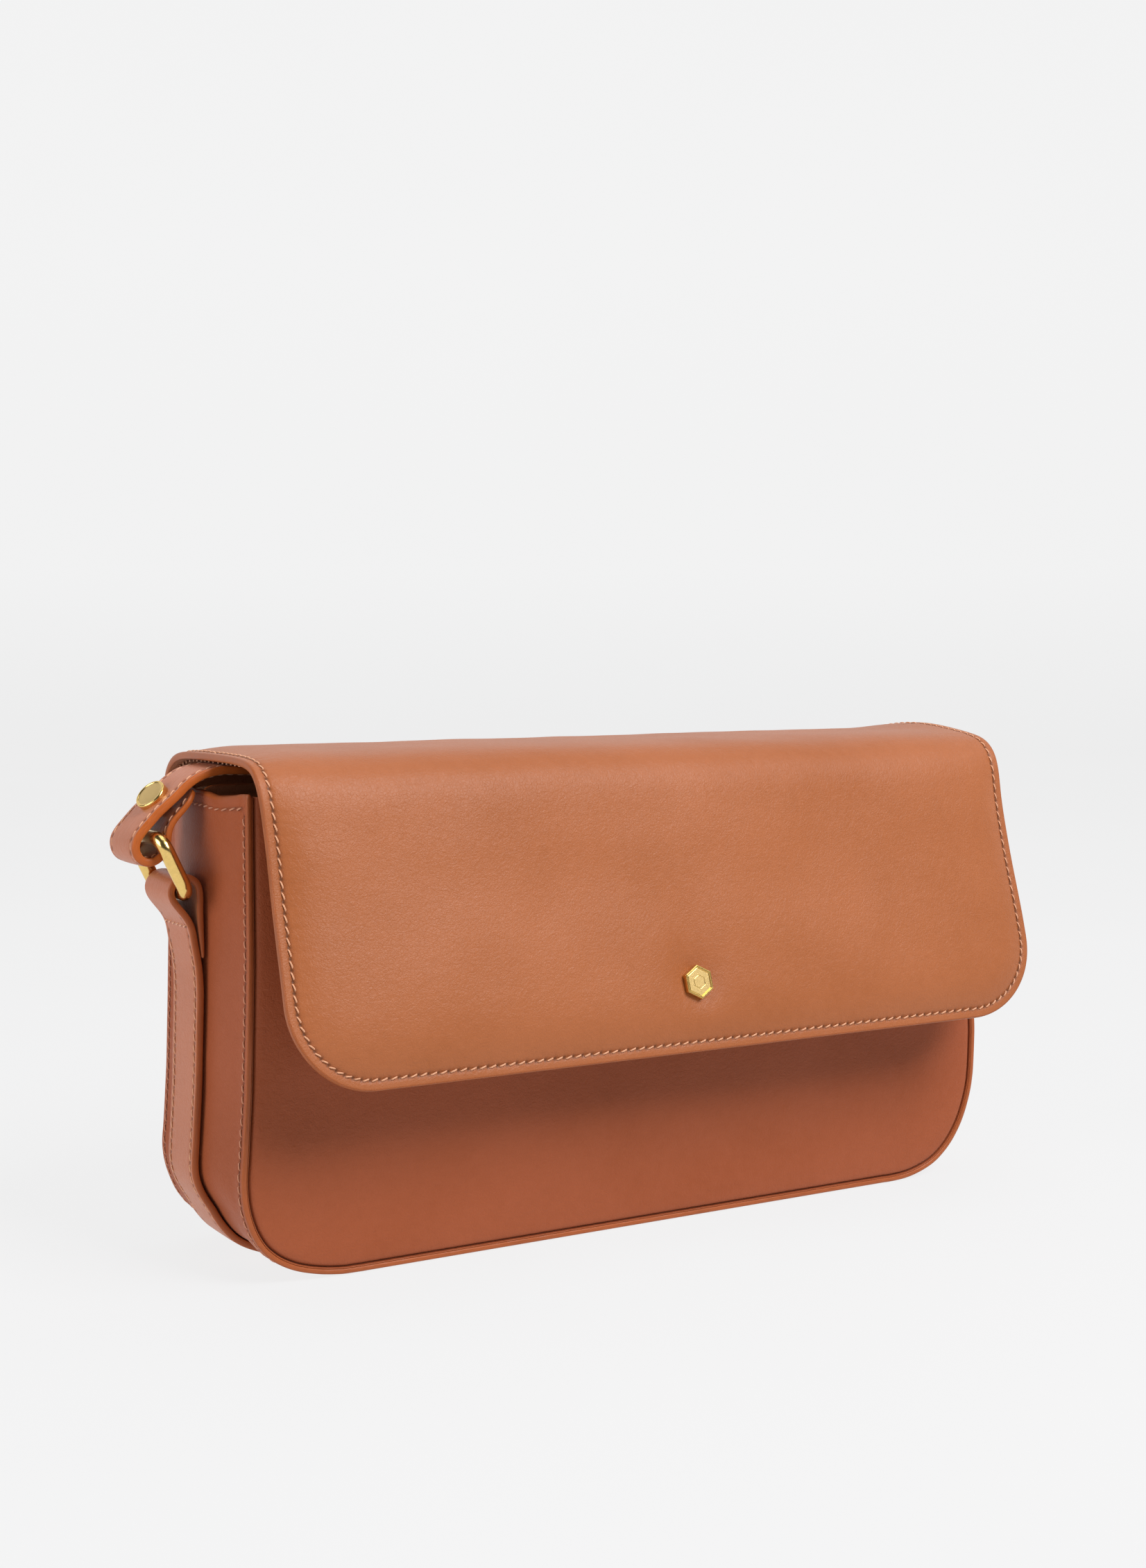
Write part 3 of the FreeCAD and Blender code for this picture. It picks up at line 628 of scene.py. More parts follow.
def leather(name, base, rough=0.46, grain=1.0, attr=True, spec=0.3):
    m, nt, b = new_mat(name)
    v = coords(nt, attr)
    broad = noise(nt, v, 0.018, 3, 0.5)
    mottled = noise(nt, v, 0.32, 4, 0.6)
    mixf = mathn(nt, "ADD", mathn(nt, "MULTIPLY", broad, val=0.7), mathn(nt, "MULTIPLY", mottled, val=0.3))
    col = ramp(nt, mixf, [(0.32, shade(base, 0.90, 1.04)), (0.5, base), (0.68, shade(base, 1.08, 0.98))])
    # painted shade: the per-vertex attribute blends the colour towards a near-black copy of the base, darkening stitch
    # holes and the crease inside the rim
    hole = nt.nodes.new("ShaderNodeAttribute")
    hole.attribute_name = "painted_shade"
    painted_shade_mix = nt.nodes.new("ShaderNodeMix")
    painted_shade_mix.data_type = "RGBA"
    nt.links.new(hole.outputs["Fac"], painted_shade_mix.inputs["Factor"])
    nt.links.new(col, painted_shade_mix.inputs["A"])
    nt.links.new(ramp(nt, mottled, [(0.3, shade(base, 0.13, 1.2)), (0.7, shade(base, 0.2, 1.2))]), painted_shade_mix.inputs["B"])
    nt.links.new(painted_shade_mix.outputs["Result"], b.inputs["Base Color"])
    pores = nt.nodes.new("ShaderNodeTexVoronoi")
    pores.feature = "DISTANCE_TO_EDGE"
    pores.inputs["Scale"].default_value = 0.95
    pores.inputs["Randomness"].default_value = 1.0
    nt.links.new(v, pores.inputs["Vector"])
    cell = maprange(nt, pores.outputs["Distance"], 0.0, 0.16, 0.0, 1.0)
    fine = noise(nt, v, 1.5, 3, 0.6, 0.4)
    creep = noise(nt, v, 0.42, 4, 0.62, 1.2)
    h = mathn(nt, "ADD", mathn(nt, "MULTIPLY", cell, val=0.55), mathn(nt, "MULTIPLY", fine, val=0.45))
    nrm = bump(nt, h, 0.00007 * grain, 0.7)
    nrm = bump(nt, creep, 0.00030 * grain, 0.58, nrm)
    nt.links.new(nrm, b.inputs["Normal"])
    r = maprange(nt, mathn(nt, "ADD", mathn(nt, "MULTIPLY", creep, val=0.5), mathn(nt, "MULTIPLY", cell, val=0.25)), 0.1, 0.7, rough + 0.06, rough - 0.05)
    nt.links.new(r, b.inputs["Roughness"])
    b.inputs["Specular IOR Level"].default_value = spec
    b.inputs["Sheen Weight"].default_value = 0.06
    b.inputs["Sheen Roughness"].default_value = 0.45
    b.inputs["Sheen Tint"].default_value = (1.0, 0.86, 0.80, 1)
    return m


def edge_paint(name, base, rough=0.36):
    m, nt, b = new_mat(name)
    v = coords(nt)
    streak = nt.nodes.new("ShaderNodeMapping")
    streak.inputs["Scale"].default_value = (0.35, 3.2, 3.2)
    nt.links.new(v, streak.inputs["Vector"])
    f = noise(nt, streak.outputs["Vector"], 1.0, 4, 0.65)
    big = noise(nt, v, 0.05, 2, 0.5)
    fac = mathn(nt, "ADD", mathn(nt, "MULTIPLY", f, val=0.6), mathn(nt, "MULTIPLY", big, val=0.4))
    nt.links.new(ramp(nt, fac, [(0.3, shade(base, 0.78)), (0.5, base), (0.72, shade(base, 1.18))]), b.inputs["Base Color"])
    nt.links.new(bump(nt, f, 0.00012, 0.6), b.inputs["Normal"])
    nt.links.new(maprange(nt, f, 0.3, 0.7, rough - 0.06, rough + 0.1), b.inputs["Roughness"])
    b.inputs["Specular IOR Level"].default_value = 0.3
    return m


def thread(name, base):
    m, nt, b = new_mat(name)
    v = coords(nt)
    w = nt.nodes.new("ShaderNodeTexWave")
    w.inputs["Scale"].default_value = 1.7
    w.inputs["Distortion"].default_value = 0.4
    nt.links.new(v, w.inputs["Vector"])
    w.bands_direction = "DIAGONAL"
    f = w.outputs["Fac"]
    nt.links.new(ramp(nt, f, [(0.0, shade(base, 0.72)), (0.6, base), (1.0, shade(base, 1.08))]), b.inputs["Base Color"])
    nt.links.new(bump(nt, f, 0.00006, 0.7), b.inputs["Normal"])
    nt.links.new(maprange(nt, f, 0, 1, 0.62, 0.5), b.inputs["Roughness"])
    b.inputs["Sheen Weight"].default_value = 0.25
    return m


def twill(name, base):
    m, nt, b = new_mat(name)
    v = coords(nt, False)
    a = nt.nodes.new("ShaderNodeTexWave")
    a.bands_direction = "DIAGONAL"
    a.inputs["Scale"].default_value = 0.55
    a.inputs["Distortion"].default_value = 0.8
    a.inputs["Detail"].default_value = 2
    nt.links.new(v, a.inputs["Vector"])
    f = mathn(nt, "ADD", mathn(nt, "MULTIPLY", a.outputs["Fac"], val=0.7), mathn(nt, "MULTIPLY", noise(nt, v, 3.0, 3), val=0.3))
    nt.links.new(ramp(nt, f, [(0.1, shade(base, 0.7)), (0.9, shade(base, 1.1))]), b.inputs["Base Color"])
    nt.links.new(bump(nt, f, 0.0001, 0.8), b.inputs["Normal"])
    nt.links.new(maprange(nt, f, 0, 1, 0.95, 0.82), b.inputs["Roughness"])
    b.inputs["Sheen Weight"].default_value = 0.3
    return m


def board_mat(name, base):
    m, nt, b = new_mat(name)
    v = coords(nt, False)
    f = noise(nt, v, 0.8, 6, 0.7)
    nt.links.new(ramp(nt, f, [(0.3, shade(base, 0.75)), (0.7, shade(base, 1.15))]), b.inputs["Base Color"])
    nt.links.new(bump(nt, f, 0.0001, 0.6), b.inputs["Normal"])
    nt.links.new(maprange(nt, f, 0.3, 0.7, 0.9, 0.75), b.inputs["Roughness"])
    return m


def metal(name, base, rough=0.16, brushed=False, attr=False):
    m, nt, b = new_mat(name)
    v = coords(nt, attr)
    b.inputs["Metallic"].default_value = 1.0
    if brushed:
        mp = nt.nodes.new("ShaderNodeMapping")
        mp.inputs["Scale"].default_value = (0.5, 9.0, 0.5)
        nt.links.new(v, mp.inputs["Vector"])
        f = noise(nt, mp.outputs["Vector"], 1.6, 5, 0.7)
        nt.links.new(bump(nt, f, 0.00003, 0.5), b.inputs["Normal"])
    else:
        f = noise(nt, v, 0.7, 4, 0.6)
        nt.links.new(bump(nt, f, 0.00003, 0.06), b.inputs["Normal"])
    nt.links.new(ramp(nt, f, [(0.25, shade(base, 0.90)), (0.75, shade(base, 1.05))]), b.inputs["Base Color"])
    nt.links.new(maprange(nt, f, 0.25, 0.75, rough + 0.06, rough - 0.03), b.inputs["Roughness"])
    return m


TAN = lin(160, 91, 50)
LEATHER = leather("leather_tan", TAN)
LEATHER_BODY = leather("leather_tan_body", lin(155, 77, 41), rough=0.54, spec=0.3)
LEATHER_STRAP = leather("leather_tan_strap", lin(176, 97, 57), rough=0.42, spec=0.55)
LEATHER_IN = leather("leather_inner", lin(168, 104, 70), rough=0.62, grain=1.3)
EDGE = edge_paint("edge_paint", lin(162, 84, 42))
EDGE_STRAP = edge_paint("edge_paint_strap", lin(174, 88, 34))
EDGE_FLAP = edge_paint("edge_paint_flap", lin(158, 84, 40))
THREAD = thread("thread_peach", lin(226, 164, 124))
THREAD_BODY = thread("thread_tan", lin(208, 138, 102))
TWILL = twill("lining_twill", lin(176, 134, 100))
BOARD = board_mat("fibre_board", lin(150, 118, 90))
BRASS = metal("polished_brass", lin(232, 196, 110), rough=0.14)
BRASS_BRUSH = metal("brushed_brass", lin(224, 192, 128), rough=0.38, brushed=True, attr=True)
BRASS_RIM = metal("polished_brass_rim", lin(238, 202, 124), rough=0.18, attr=True)
BRASS_STUD = metal("satin_brass_rim", lin(222, 184, 108), rough=0.28, attr=True)
FACE_SET = [LEATHER, EDGE_FLAP, LEATHER_IN]

PITCH = 3.2
STITCH_IN = 3.1

# ------------------------------------------------------------------------------------
# flap: one padded skin from the hem, over the front fold and the top, and down the back
# ------------------------------------------------------------------------------------
FLAP_HALF = 136.3
PROFILE = [(-63.2, 61.5), (-60.1, 76.0), (-57.6, 85.5), (-55.0, 95.0), (-50.8, 109.5), (-47.2, 124.0), (-45.2, 134.0),
           (-43.9, 142.0), (-41.4, 148.2), (-36.8, 152.0), (-30.5, 153.5), (-22, 154.0), (-10, 154.1), (4, 154.0),
           (14, 153.7), (21.5, 152.7), (27.3, 150.2), (31.0, 146.0), (32.9, 140.0), (33.4, 134.0), (33.4, 124.0), (33.4, 112.2)]
flap_path = Path(PROFILE)
T_END = flap_path.length
T_SPLIT = flap_path.where(0, -4.0, 0.3, 0.7)
T_FOLD = flap_path.where(1, 149.0, 0.2, 0.6)
T_BACK = flap_path.where(0, 29.5, 0.5, 0.9)
HEM_R, APRON_R = 26.0, 10.0
T_STUD = flap_path.where(1, 82.0, 0.0, 0.3)


def flap_F(s, t):
    p, d = flap_path.at(t)
    # the hem hangs a little wide on the right and a little narrow on the left
    wide = smooth(s, 95, 136) * (0.5 + 1.3 * (1 - smooth(t, 30, 90)))
    wide = wide + 1.3 * smooth(-np.asarray(s, float), 90, 136) * (1 - smooth(t, T_FOLD - 24, T_FOLD + 2))
    P = np.stack([np.asarray(s, float) + wide + 0 * p[..., 0], p[..., 0], p[..., 1]], -1)
    N = np.stack([0 * p[..., 0], -d[..., 1], d[..., 0]], -1)
    return P, N


flap_waves = Waves(11, 85)
flap_small = Waves(12, 26)


def flap_inset(s, t):
    """Distance in from the flap's cut edge."""
    ax = FLAP_HALF - np.abs(s)
    d = np.minimum(np.minimum(ax, t), T_END - t)
    cx, ct = FLAP_HALF - HEM_R, HEM_R
    m = (np.abs(s) > cx) & (t < ct)
    d = np.where(m, HEM_R - np.hypot(np.abs(s) - cx, ct - t), d)
    cx, ct = FLAP_HALF - APRON_R, T_END - APRON_R
    m = (np.abs(s) > cx) & (t > ct)
    return np.where(m, APRON_R - np.hypot(np.abs(s) - cx, t - ct), d)


def flap_lift(s, t):
    """The strap below holds the right end of the flap up a little."""
    return 3.2 * gauss(s, 137, 13) * gauss(t, T_SPLIT + 1, 24)


def flap_pad(s, t):
    d = flap_inset(s, t)
    x = np.maximum(d - STITCH_IN, 0)
    up = 1 - np.exp(-(x / 6.5) ** 1.15)
    front = 1 - smooth(t, T_FOLD - 26, T_FOLD + 8)
    amp = 1.25 + 1.95 * front
    amp = amp * (1 - smooth(t, T_BACK - 22, T_BACK + 10))
    fold = gauss(t, T_FOLD, 13)
    h = up * (amp - 0.5 * fold)
    # slow unevenness of a hand-made flap
    h = h + up * (0.42 * flap_waves(s, t) * (0.4 + 0.6 * front) + 0.10 * flap_small(s, t)) * (1 - smooth(t, T_BACK - 22, T_BACK))
    # the strap under the flap lifts it at both sides
    h = h + 0.5 * gauss(s, -124, 14) * gauss(t, T_SPLIT + 3, 20) * smooth(d, 0, 14) + flap_lift(s, t)
    # hollow round the stud, pulled in by its post
    r = np.hypot(s, (t - T_STUD))
    h = h - 2.0 * np.exp(-(r / 9.5) ** 1.5) - 0.9 * np.exp(-((s + 1.5) / 7.5) ** 2) * smooth(t, T_STUD - 4, T_STUD + 6) * (1 - smooth(t, T_STUD + 8, T_STUD + 40))
    h = h + 0.45 * np.exp(-((s - 4) / 9) ** 2 - ((t - T_STUD + 10.5) / 4.5) ** 2)
    return h


def pucker(L, x, seed):
    """Small gathers that run in from the stitch line; x is the distance in from it."""
    r = Waves(seed, 40)
    j = r(L, 0 * L)
    k = np.cos(2 * math.pi * L / PITCH + 0.9 * j) * 0.55 + np.cos(2 * math.pi * L / (PITCH * 1.9) + 2.1 * j) * 0.45
    return k * np.exp(-np.maximum(x, 0) / 3.6) * smooth(x, -0.2, 1.2)


def seam(inset, L, at=STITCH_IN, depth=0.34, width=0.75):
    hole = 0.5 + 0.5 * np.cos(2 * math.pi * L / PITCH)
    return -depth * gauss(inset, at, width) * (0.45 + 0.85 * hole ** 2)


def flap_height(s, t, inset, L):
    h = flap_pad(s, t)
    near = inset < 16
    h = h + np.where(near, seam(inset, L), 0)
    amp = 0.075 * (1 - 0.6 * smooth(t, T_FOLD, T_SPLIT)) * (1 + smooth(np.abs(s), 118, 132))
    h = h + np.where(near, amp * pucker(L, inset - STITCH_IN, 21), 0)
    # the margin curls down a little to the painted edge
    h = h - 0.10 * np.exp(-inset / 0.9)
    return h


def flap_thick(s, t, inset, L):
    return 2.9 - 0.75 * np.exp(-flap_inset(s, t) / 3.0)


def flap_lining(s, t, inset, L):
    d = flap_inset(s, t)
    x = np.maximum(d - STITCH_IN, 0)
    return flap_lift(s, t) + 0.25 * (1 - np.exp(-x / 8)) * flap_waves(s + 40, t * 1.3) - np.where(inset < 16, 0.5 * seam(inset, L), 0)


# painted shade along a stitch row: darkest at each hole, a faint band between
def stitch_hole_shade(across, along, k=0.8, width=0.55):
    hole = np.clip(np.cos(2 * math.pi * along / PITCH), 0, 1) ** 1.5
    return np.clip(gauss(across, 0, width) * (0.18 + k * hole), 0, 0.9)


def flap_boundary(t0, t1):
    """Outline of one half of the flap, inside on the left, open along T_SPLIT."""
    a = FLAP_HALF
    if t0 == 0:
        c = [(-a, T_SPLIT, 0), (-a, 0, HEM_R), (a, 0, HEM_R), (a, T_SPLIT, 0)]
    else:
        c = [(a, T_SPLIT, 0), (a, T_END, APRON_R), (-a, T_END, APRON_R), (-a, T_SPLIT, 0)]
    return c


INSETS = [0.62, 0.9, 1.3, 1.8, 2.2, 2.55, 2.8, 3.1, 3.4, 3.8, 4.3, 5.0, 5.9, 7.0, 8.4, 10.2, 12.0, 14.2, 17.0]
for nm, t0, pair in (("flap_front", 0, ("flap_top", "flap_front", (0, -.0310, .1530), (0, -.0445, .1405))),
                     ("flap_back", 1, ("bag_body", "flap_top", (0, .0334, .1400), (0, .0200, .1535)))):
    corners = flap_boundary(t0, T_END)
    b2, step = outline_points(corners, PITCH / 4)
    Ls = np.arange(len(b2)) * (PITCH / 4)
    # the flap skin carries painted shade in its stitch holes
    o = panel(nm + "_skin", b2, False, INSETS if t0 == 0 else [i for i in INSETS if i < 9], flap_height, flap_F, flap_thick, FACE_SET, spacing=2.6,
              painted_shade=lambda s, t, i, L: np.where(i < 7, stitch_hole_shade(i - STITCH_IN, L), 0), back_h=flap_lining, split_line=T_SPLIT, edge=0.62, Ls=Ls)
    # stitch row along the same outline
    d = np.gradient(b2, axis=0)
    d /= np.linalg.norm(d, axis=1)[:, None]
    inward = np.stack([-d[:, 1], d[:, 0]], -1)
    holes = np.arange(0, len(b2), 4)
    h2 = (b2 + inward * STITCH_IN)[holes]
    P, N = flap_F(h2[:, 0], h2[:, 1])
    H = flap_pad(h2[:, 0], h2[:, 1]) - 0.12
    top_row = (P + N * H[:, None], N)
    bot_row = (P + N * (flap_lift(h2[:, 0], h2[:, 1]) - 2.9 + 0.75 * math.exp(-STITCH_IN / 3.0))[:, None], -N)
    st = stitch_mesh(nm + "_stitches", THREAD, [top_row, bot_row])
    for q in (o, st):
        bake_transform(q)
    if t0 == 0:
        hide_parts("flap_front_leather", "flap_front_foam", "flap_front_lining")
    else:
        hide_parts("flap_back_apron", "flap_top_leather", "flap_top_foam", "flap_top_lining")

# ------------------------------------------------------------------------------------
# gusset: one strip of leather down the left side, along the base and up the right
# ------------------------------------------------------------------------------------
W_HALF, SEAM_Z, CORNER_R = 135.0, 0.15, 36.0
MIDC, MIDR = (-104.85, 37.05), 34.75
GUSSET_TOP, RIM_Y = 143.5, 31.0


def gusset_stations(step, top=GUSSET_TOP):
    """(seam x, z, mid x, z, normal x, z) at even steps along the strip, and the length."""
    dense = []
    for z in np.arange(top, SEAM_Z + CORNER_R, -0.25):
        dense.append((-W_HALF, z, -W_HALF - 4.6, z, -1.0, 0.0))
    for k in range(0, 181):
        t = math.radians(0.5 * k)
        c, sn = math.cos(t), math.sin(t)
        dense.append((-W_HALF + CORNER_R - CORNER_R * c, SEAM_Z + CORNER_R - CORNER_R * sn, MIDC[0] - MIDR * c, MIDC[1] - MIDR * sn, -c, -sn))
    for x in np.arange(-98.5, 0.01, 0.5):
        dense.append((x, SEAM_Z, x - 5.85 * (1 - smooth(x, -99, -92)), 2.3, 0.0, -1.0))
    dense = dense + [(-a, b, -c, d, -e, f) for a, b, c, d, e, f in dense[-2::-1]]
    dense = np.array(dense)
    s = np.r_[0, np.cumsum(np.linalg.norm(np.diff(dense[:, :2], axis=0), axis=1))]
    n = int(round(s[-1] / step))
    ss = np.linspace(0, s[-1], n + 1)
    return np.stack([np.interp(ss, s, dense[:, k]) for k in range(6)], -1), ss


GW = Waves(31, 60)
GW2 = Waves(32, 22)


def gusset_share(st, y):
    a = np.abs(y) / 25.2
    side = np.where(a >= 1, 0, np.clip(1 - a * a, 0, 1) ** 1.25 * (1 + 0.25 * a * a))
    b = np.clip((np.abs(y) - 15.0) / 11.0, 0, 1)
    base = 0.5 + 0.5 * np.cos(math.pi * b)
    c = st[:, 4] ** 2
    return c * side + (1 - c) * base


gst, gs = gusset_stations(PITCH / 4)
GLEN = gs[-1]
gP = np.stack([gst[:, 0], 0 * gs, gst[:, 1]], -1)
gN = np.stack([gst[:, 4], 0 * gs, gst[:, 5]], -1)
gN /= np.linalg.norm(gN, axis=1)[:, None]
gT = np.gradient(gP, axis=0)
gT /= np.linalg.norm(gT, axis=1)[:, None]
gB = np.cross(gT, gN)


def densify(ss, extra):
    lo = ss[0] + extra
    hi = ss[-1] - extra[::-1]
    mid = ss[(ss > lo[-1] + 0.2) & (ss < hi[0] - 0.2)]
    return np.r_[lo, mid, hi]


def restation(ss, s_new, *arrs):
    return [np.stack([np.interp(s_new, ss, a[:, k]) for k in range(a.shape[1])], -1) for a in arrs]


gs2 = densify(gs, np.array([0.0, 0.07, 0.25, 0.55, 0.95, 1.4]))
gst2, gP2, gN2, gB2 = restation(gs, gs2, gst, gP, gN, gB)
STITCH_Y = 28.6


def gusset_shift(st):
    def f(i, lat):
        m = np.stack([st[:, 2] - st[:, 0], 0 * st[:, 0], st[:, 3] - st[:, 1]], -1)
        return m * gusset_share(st, lat)[:, None]
    return f


def gusset_dist_top(ss):
    return np.minimum(ss - ss[0], ss[-1] - ss)


def gusset_top(i, lat):
    lat = np.broadcast_to(lat, gs2.shape)
    d = gusset_dist_top(gs2)
    a = np.abs(lat)
    side = gst2[:, 4] ** 2
    h = -0.06 * side
    L = gs2
    h = h - 0.30 * gauss(a, STITCH_Y, 0.7) * (0.4 + 0.9 * (0.5 + 0.5 * np.cos(2 * math.pi * L / PITCH)) ** 2) * (0.35 + 0.65 * side)
    inner = smooth(STITCH_Y - a, 0.4, 3)
    h = h + side * inner * (0.16 * GW2(L, lat) * smooth(a, 4, 22) - 0.22 * np.abs(GW(L, lat * 0.7)) * smooth(d, 2, 20))
    h = h + 0.14 * side * pucker(L, STITCH_Y - a, 33)
    h = h - 0.12 * np.exp(-(31.0 - a) / 0.8)
    # cross row under the top edge, holding the facing
    h = h - 0.24 * gauss(d, 4.3, 0.55) * (a < 28)
    return h


def gusset_back(i, lat):
    d = gusset_dist_top(gs2)
    t = 1.6 + 1.35 * (1 - smooth(d, 19.3, 20.1)) * (np.abs(lat) < 24.2)
    return gusset_top(i, lat) - t - np.where(np.abs(lat) < 24.2, 0.1, 0)


gv = np.r_[-1, -0.988, -0.976, -0.966, -0.957, -0.948, -0.939, -0.930, -0.921, -0.911, -0.9, -0.88, -0.85, -0.82, -0.78, -0.73, -0.67, -0.6, -0.5, -0.4, -0.3, -0.2, -0.1, 0]
gv = np.r_[gv, -gv[-2::-1]]
# painted shade in the stitch holes of the edge rows and the cross row
gus = ribbon("gusset_skin", gP2, gN2, gB2, 62.0, gusset_top, gusset_back, [LEATHER_BODY, EDGE, LEATHER_IN], vs=gv,
             shift=gusset_shift(gst2), round_ends=(1.3, 1.3), edge_in=0.55, p0s=gs2,
             painted_shade=lambda i, lat: stitch_hole_shade(np.abs(lat) - STITCH_Y, gs2, 0.75, 0.5) * (gusset_dist_top(gs2) > 4)
             + stitch_hole_shade(gusset_dist_top(gs2) - 4.3, lat + 1.6, 0.7, 0.5) * (np.abs(lat) < 28))


def dip_top(me):
    """The open top edge sags and flares a little between the strap and each corner."""
    v = np.zeros(len(me.vertices) * 3)
    me.vertices.foreach_get("co", v)
    v = v.reshape(-1, 3) / MM
    up = smooth(v[:, 2], 134, 143)
    dip = np.exp(-((v[:, 1] + 17) / 6.5) ** 2) + 0.7 * np.exp(-((v[:, 1] - 17) / 6.5) ** 2)
    v[:, 0] += np.sign(v[:, 0]) * up * 0.9 * dip
    v[:, 2] -= up * 1.3 * dip
    me.vertices.foreach_set("co", (v * MM).ravel())
    me.update()
    return v


me = gus.data
v = dip_top(me)
edge_top = GUSSET_TOP - 1.25 - 1.3 * (np.exp(-((v[:, 1] + 17) / 6.5) ** 2) + 0.7 * np.exp(-((v[:, 1] - 17) / 6.5) ** 2))
mi = np.zeros(len(me.polygons), int)
me.polygons.foreach_get("material_index", mi)
for k, f in enumerate(me.polygons):
    if min(v[j, 2] - edge_top[j] for j in f.vertices) > -0.02:
        mi[k] = 1
me.polygons.foreach_set("material_index", mi)
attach(gus, "bag_body")
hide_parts("gusset", "gusset_facing_left", "gusset_facing_right")


def gusset_surface(s_at, y, lift=0.0):
    st, P, N = restation(gs, s_at, gst, gP, gN)
    m = np.stack([st[:, 2] - st[:, 0], 0 * st[:, 0], st[:, 3] - st[:, 1]], -1)
    return P + np.stack([0 * y, y, 0 * y], -1) + m * gusset_share(st, y)[:, None] + N * lift, N


rows = []
hs = np.arange(2, GLEN / PITCH - 1.3) * PITCH
for sy in (-1, 1):
    y = np.full(len(hs), sy * STITCH_Y)
    low = 1 - smooth(np.interp(hs, gs, gst[:, 1]), 4, 22)
    rows.append(gusset_surface(hs, y, (-0.16 - 0.3 * low)[:, None]))
for s_end in (4.3, GLEN - 4.3):
    ys = np.arange(-27.2, 27.3, PITCH)
    rows.append(gusset_surface(np.full(len(ys), s_end), ys, -0.2))
gst_obj = stitch_mesh("gusset_stitches", THREAD_BODY, rows, radius=0.24, lift=0.26)
dip_top(gst_obj.data)
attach(gst_obj, "bag_body")

# ------------------------------------------------------------------------------------
# front and back panels: a folded rim inside the gusset, a deep crease, a puffed face
# ------------------------------------------------------------------------------------
PANEL_HALF, PANEL_BOTTOM, PANEL_TOP, PANEL_R = 133.35, 1.7, 142.5, 34.4
SNAP_Z = 80.04
pw = {-1: Waves(41, 90), 1: Waves(42, 90)}
pw2 = {-1: Waves(43, 24), 1: Waves(44, 24)}
CREASE = np.array([(0, -0.25), (0.35, -0.3), (0.5, -0.75), (0.66, -1.4), (0.84, -1.3), (1.08, -0.72), (1.45, -0.32), (2.0, -0.04), (3.0, 0.18),
                   (4.6, 0.38), (7, 0.62), (11, 0.87), (17, 1.1), (28, 1.35), (200, 1.5)])


def top_free(t):
    return 1 - smooth(t, PANEL_TOP - 9, PANEL_TOP - 1)


def panel_height(side):
    def f(s, t, inset, L):
        # along the open top edge there is no crease, only a turned edge
        dU = np.minimum(PANEL_HALF - np.abs(s), t - PANEL_BOTTOM)
        cx, cz = PANEL_HALF - PANEL_R, PANEL_BOTTOM + PANEL_R
        m = (np.abs(s) > cx) & (t < cz)
        dU = np.where(m, PANEL_R - np.hypot(np.abs(s) - cx, cz - t), dU)
        h = np.interp(dU, CREASE[:, 0], CREASE[:, 1])
        k = smooth(dU, 4, 22)
        h = h + k * (0.45 * pw[side](s, t) + 0.10 * pw2[side](s, t))
        h = h + 0.05 * pucker(L, dU - 1.2, 45) * smooth(dU, 1.3, 3.2)
        d_top = PANEL_TOP - t
        h = np.where(dU > 0.9, h - 0.9 * (1 - smooth(d_top, 0, 9)) * smooth(dU, 1.6, 6) * (h > -0.5), h)
        h = h - 0.28 * gauss(d_top, 4.0, 0.6) * (dU > 4)
        if side < 0:
            r = np.hypot(s, t - SNAP_Z)
            h = h - (h + 1.0 - 0.95) * np.exp(-(r / 9.0) ** 3) * 1.0
        return h
    return f


def panel_thick(s, t, inset, L):
    cx, cz = PANEL_HALF - PANEL_R, PANEL_BOTTOM + PANEL_R
    dU = np.minimum(PANEL_HALF - np.abs(s), t - PANEL_BOTTOM)
    m = (np.abs(s) > cx) & (t < cz)
    dU = np.where(m, PANEL_R - np.hypot(np.abs(s) - cx, cz - t), dU)
    return np.where(dU < 0.42, 5.1, 1.4)


P_INSETS = [0.22, 0.36, 0.48, 0.6, 0.72, 0.86, 1.02, 1.22, 1.45, 1.75, 2.1, 2.5, 3.0, 3.6, 4.4, 5.4, 6.8, 8.6, 10.8, 13.5]
for side, nm in ((-1, "front_panel"), (1, "back_panel")):
    c = [(-PANEL_HALF, PANEL_TOP, 0), (-PANEL_HALF, PANEL_BOTTOM, PANEL_R), (PANEL_HALF, PANEL_BOTTOM, PANEL_R), (PANEL_HALF, PANEL_TOP, 0)]
    b2, step = outline_points(c, 0.8)
    Ls = np.arange(len(b2)) * step

    def F(s, t, side=side):
        P = np.stack([s, 0 * s + side * RIM_Y, t], -1)
        N = np.stack([0 * s, 0 * s + side, 0 * s], -1)
        return P, N.astype(float)

    hf = panel_height(side)
    # painted shade along the crease just inside the rim
    o = panel(nm + "_skin", b2, False, P_INSETS, hf, F, panel_thick, [LEATHER_BODY, EDGE, LEATHER_IN], spacing=2.8,
              edge=0.2, Ls=Ls, flip=(side > 0), rim=0.37, painted_shade=lambda s, t, i, L: 0.75 * gauss(i, 0.72, 0.22), split_line=PANEL_TOP, close_split=True)
    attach(o, "bag_body")
    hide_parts(nm)
    xs = np.arange(-126.4, 126.5, PITCH)
    zt = np.full(len(xs), PANEL_TOP - 4.0)
    P, N = F(xs, zt)
    H = hf(xs, zt, zt * 0 + 50, xs) + 0.1
    q = stitch_mesh(nm + "_stitches", THREAD_BODY, [(P + N * H[:, None], N)])
    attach(q, "bag_body")

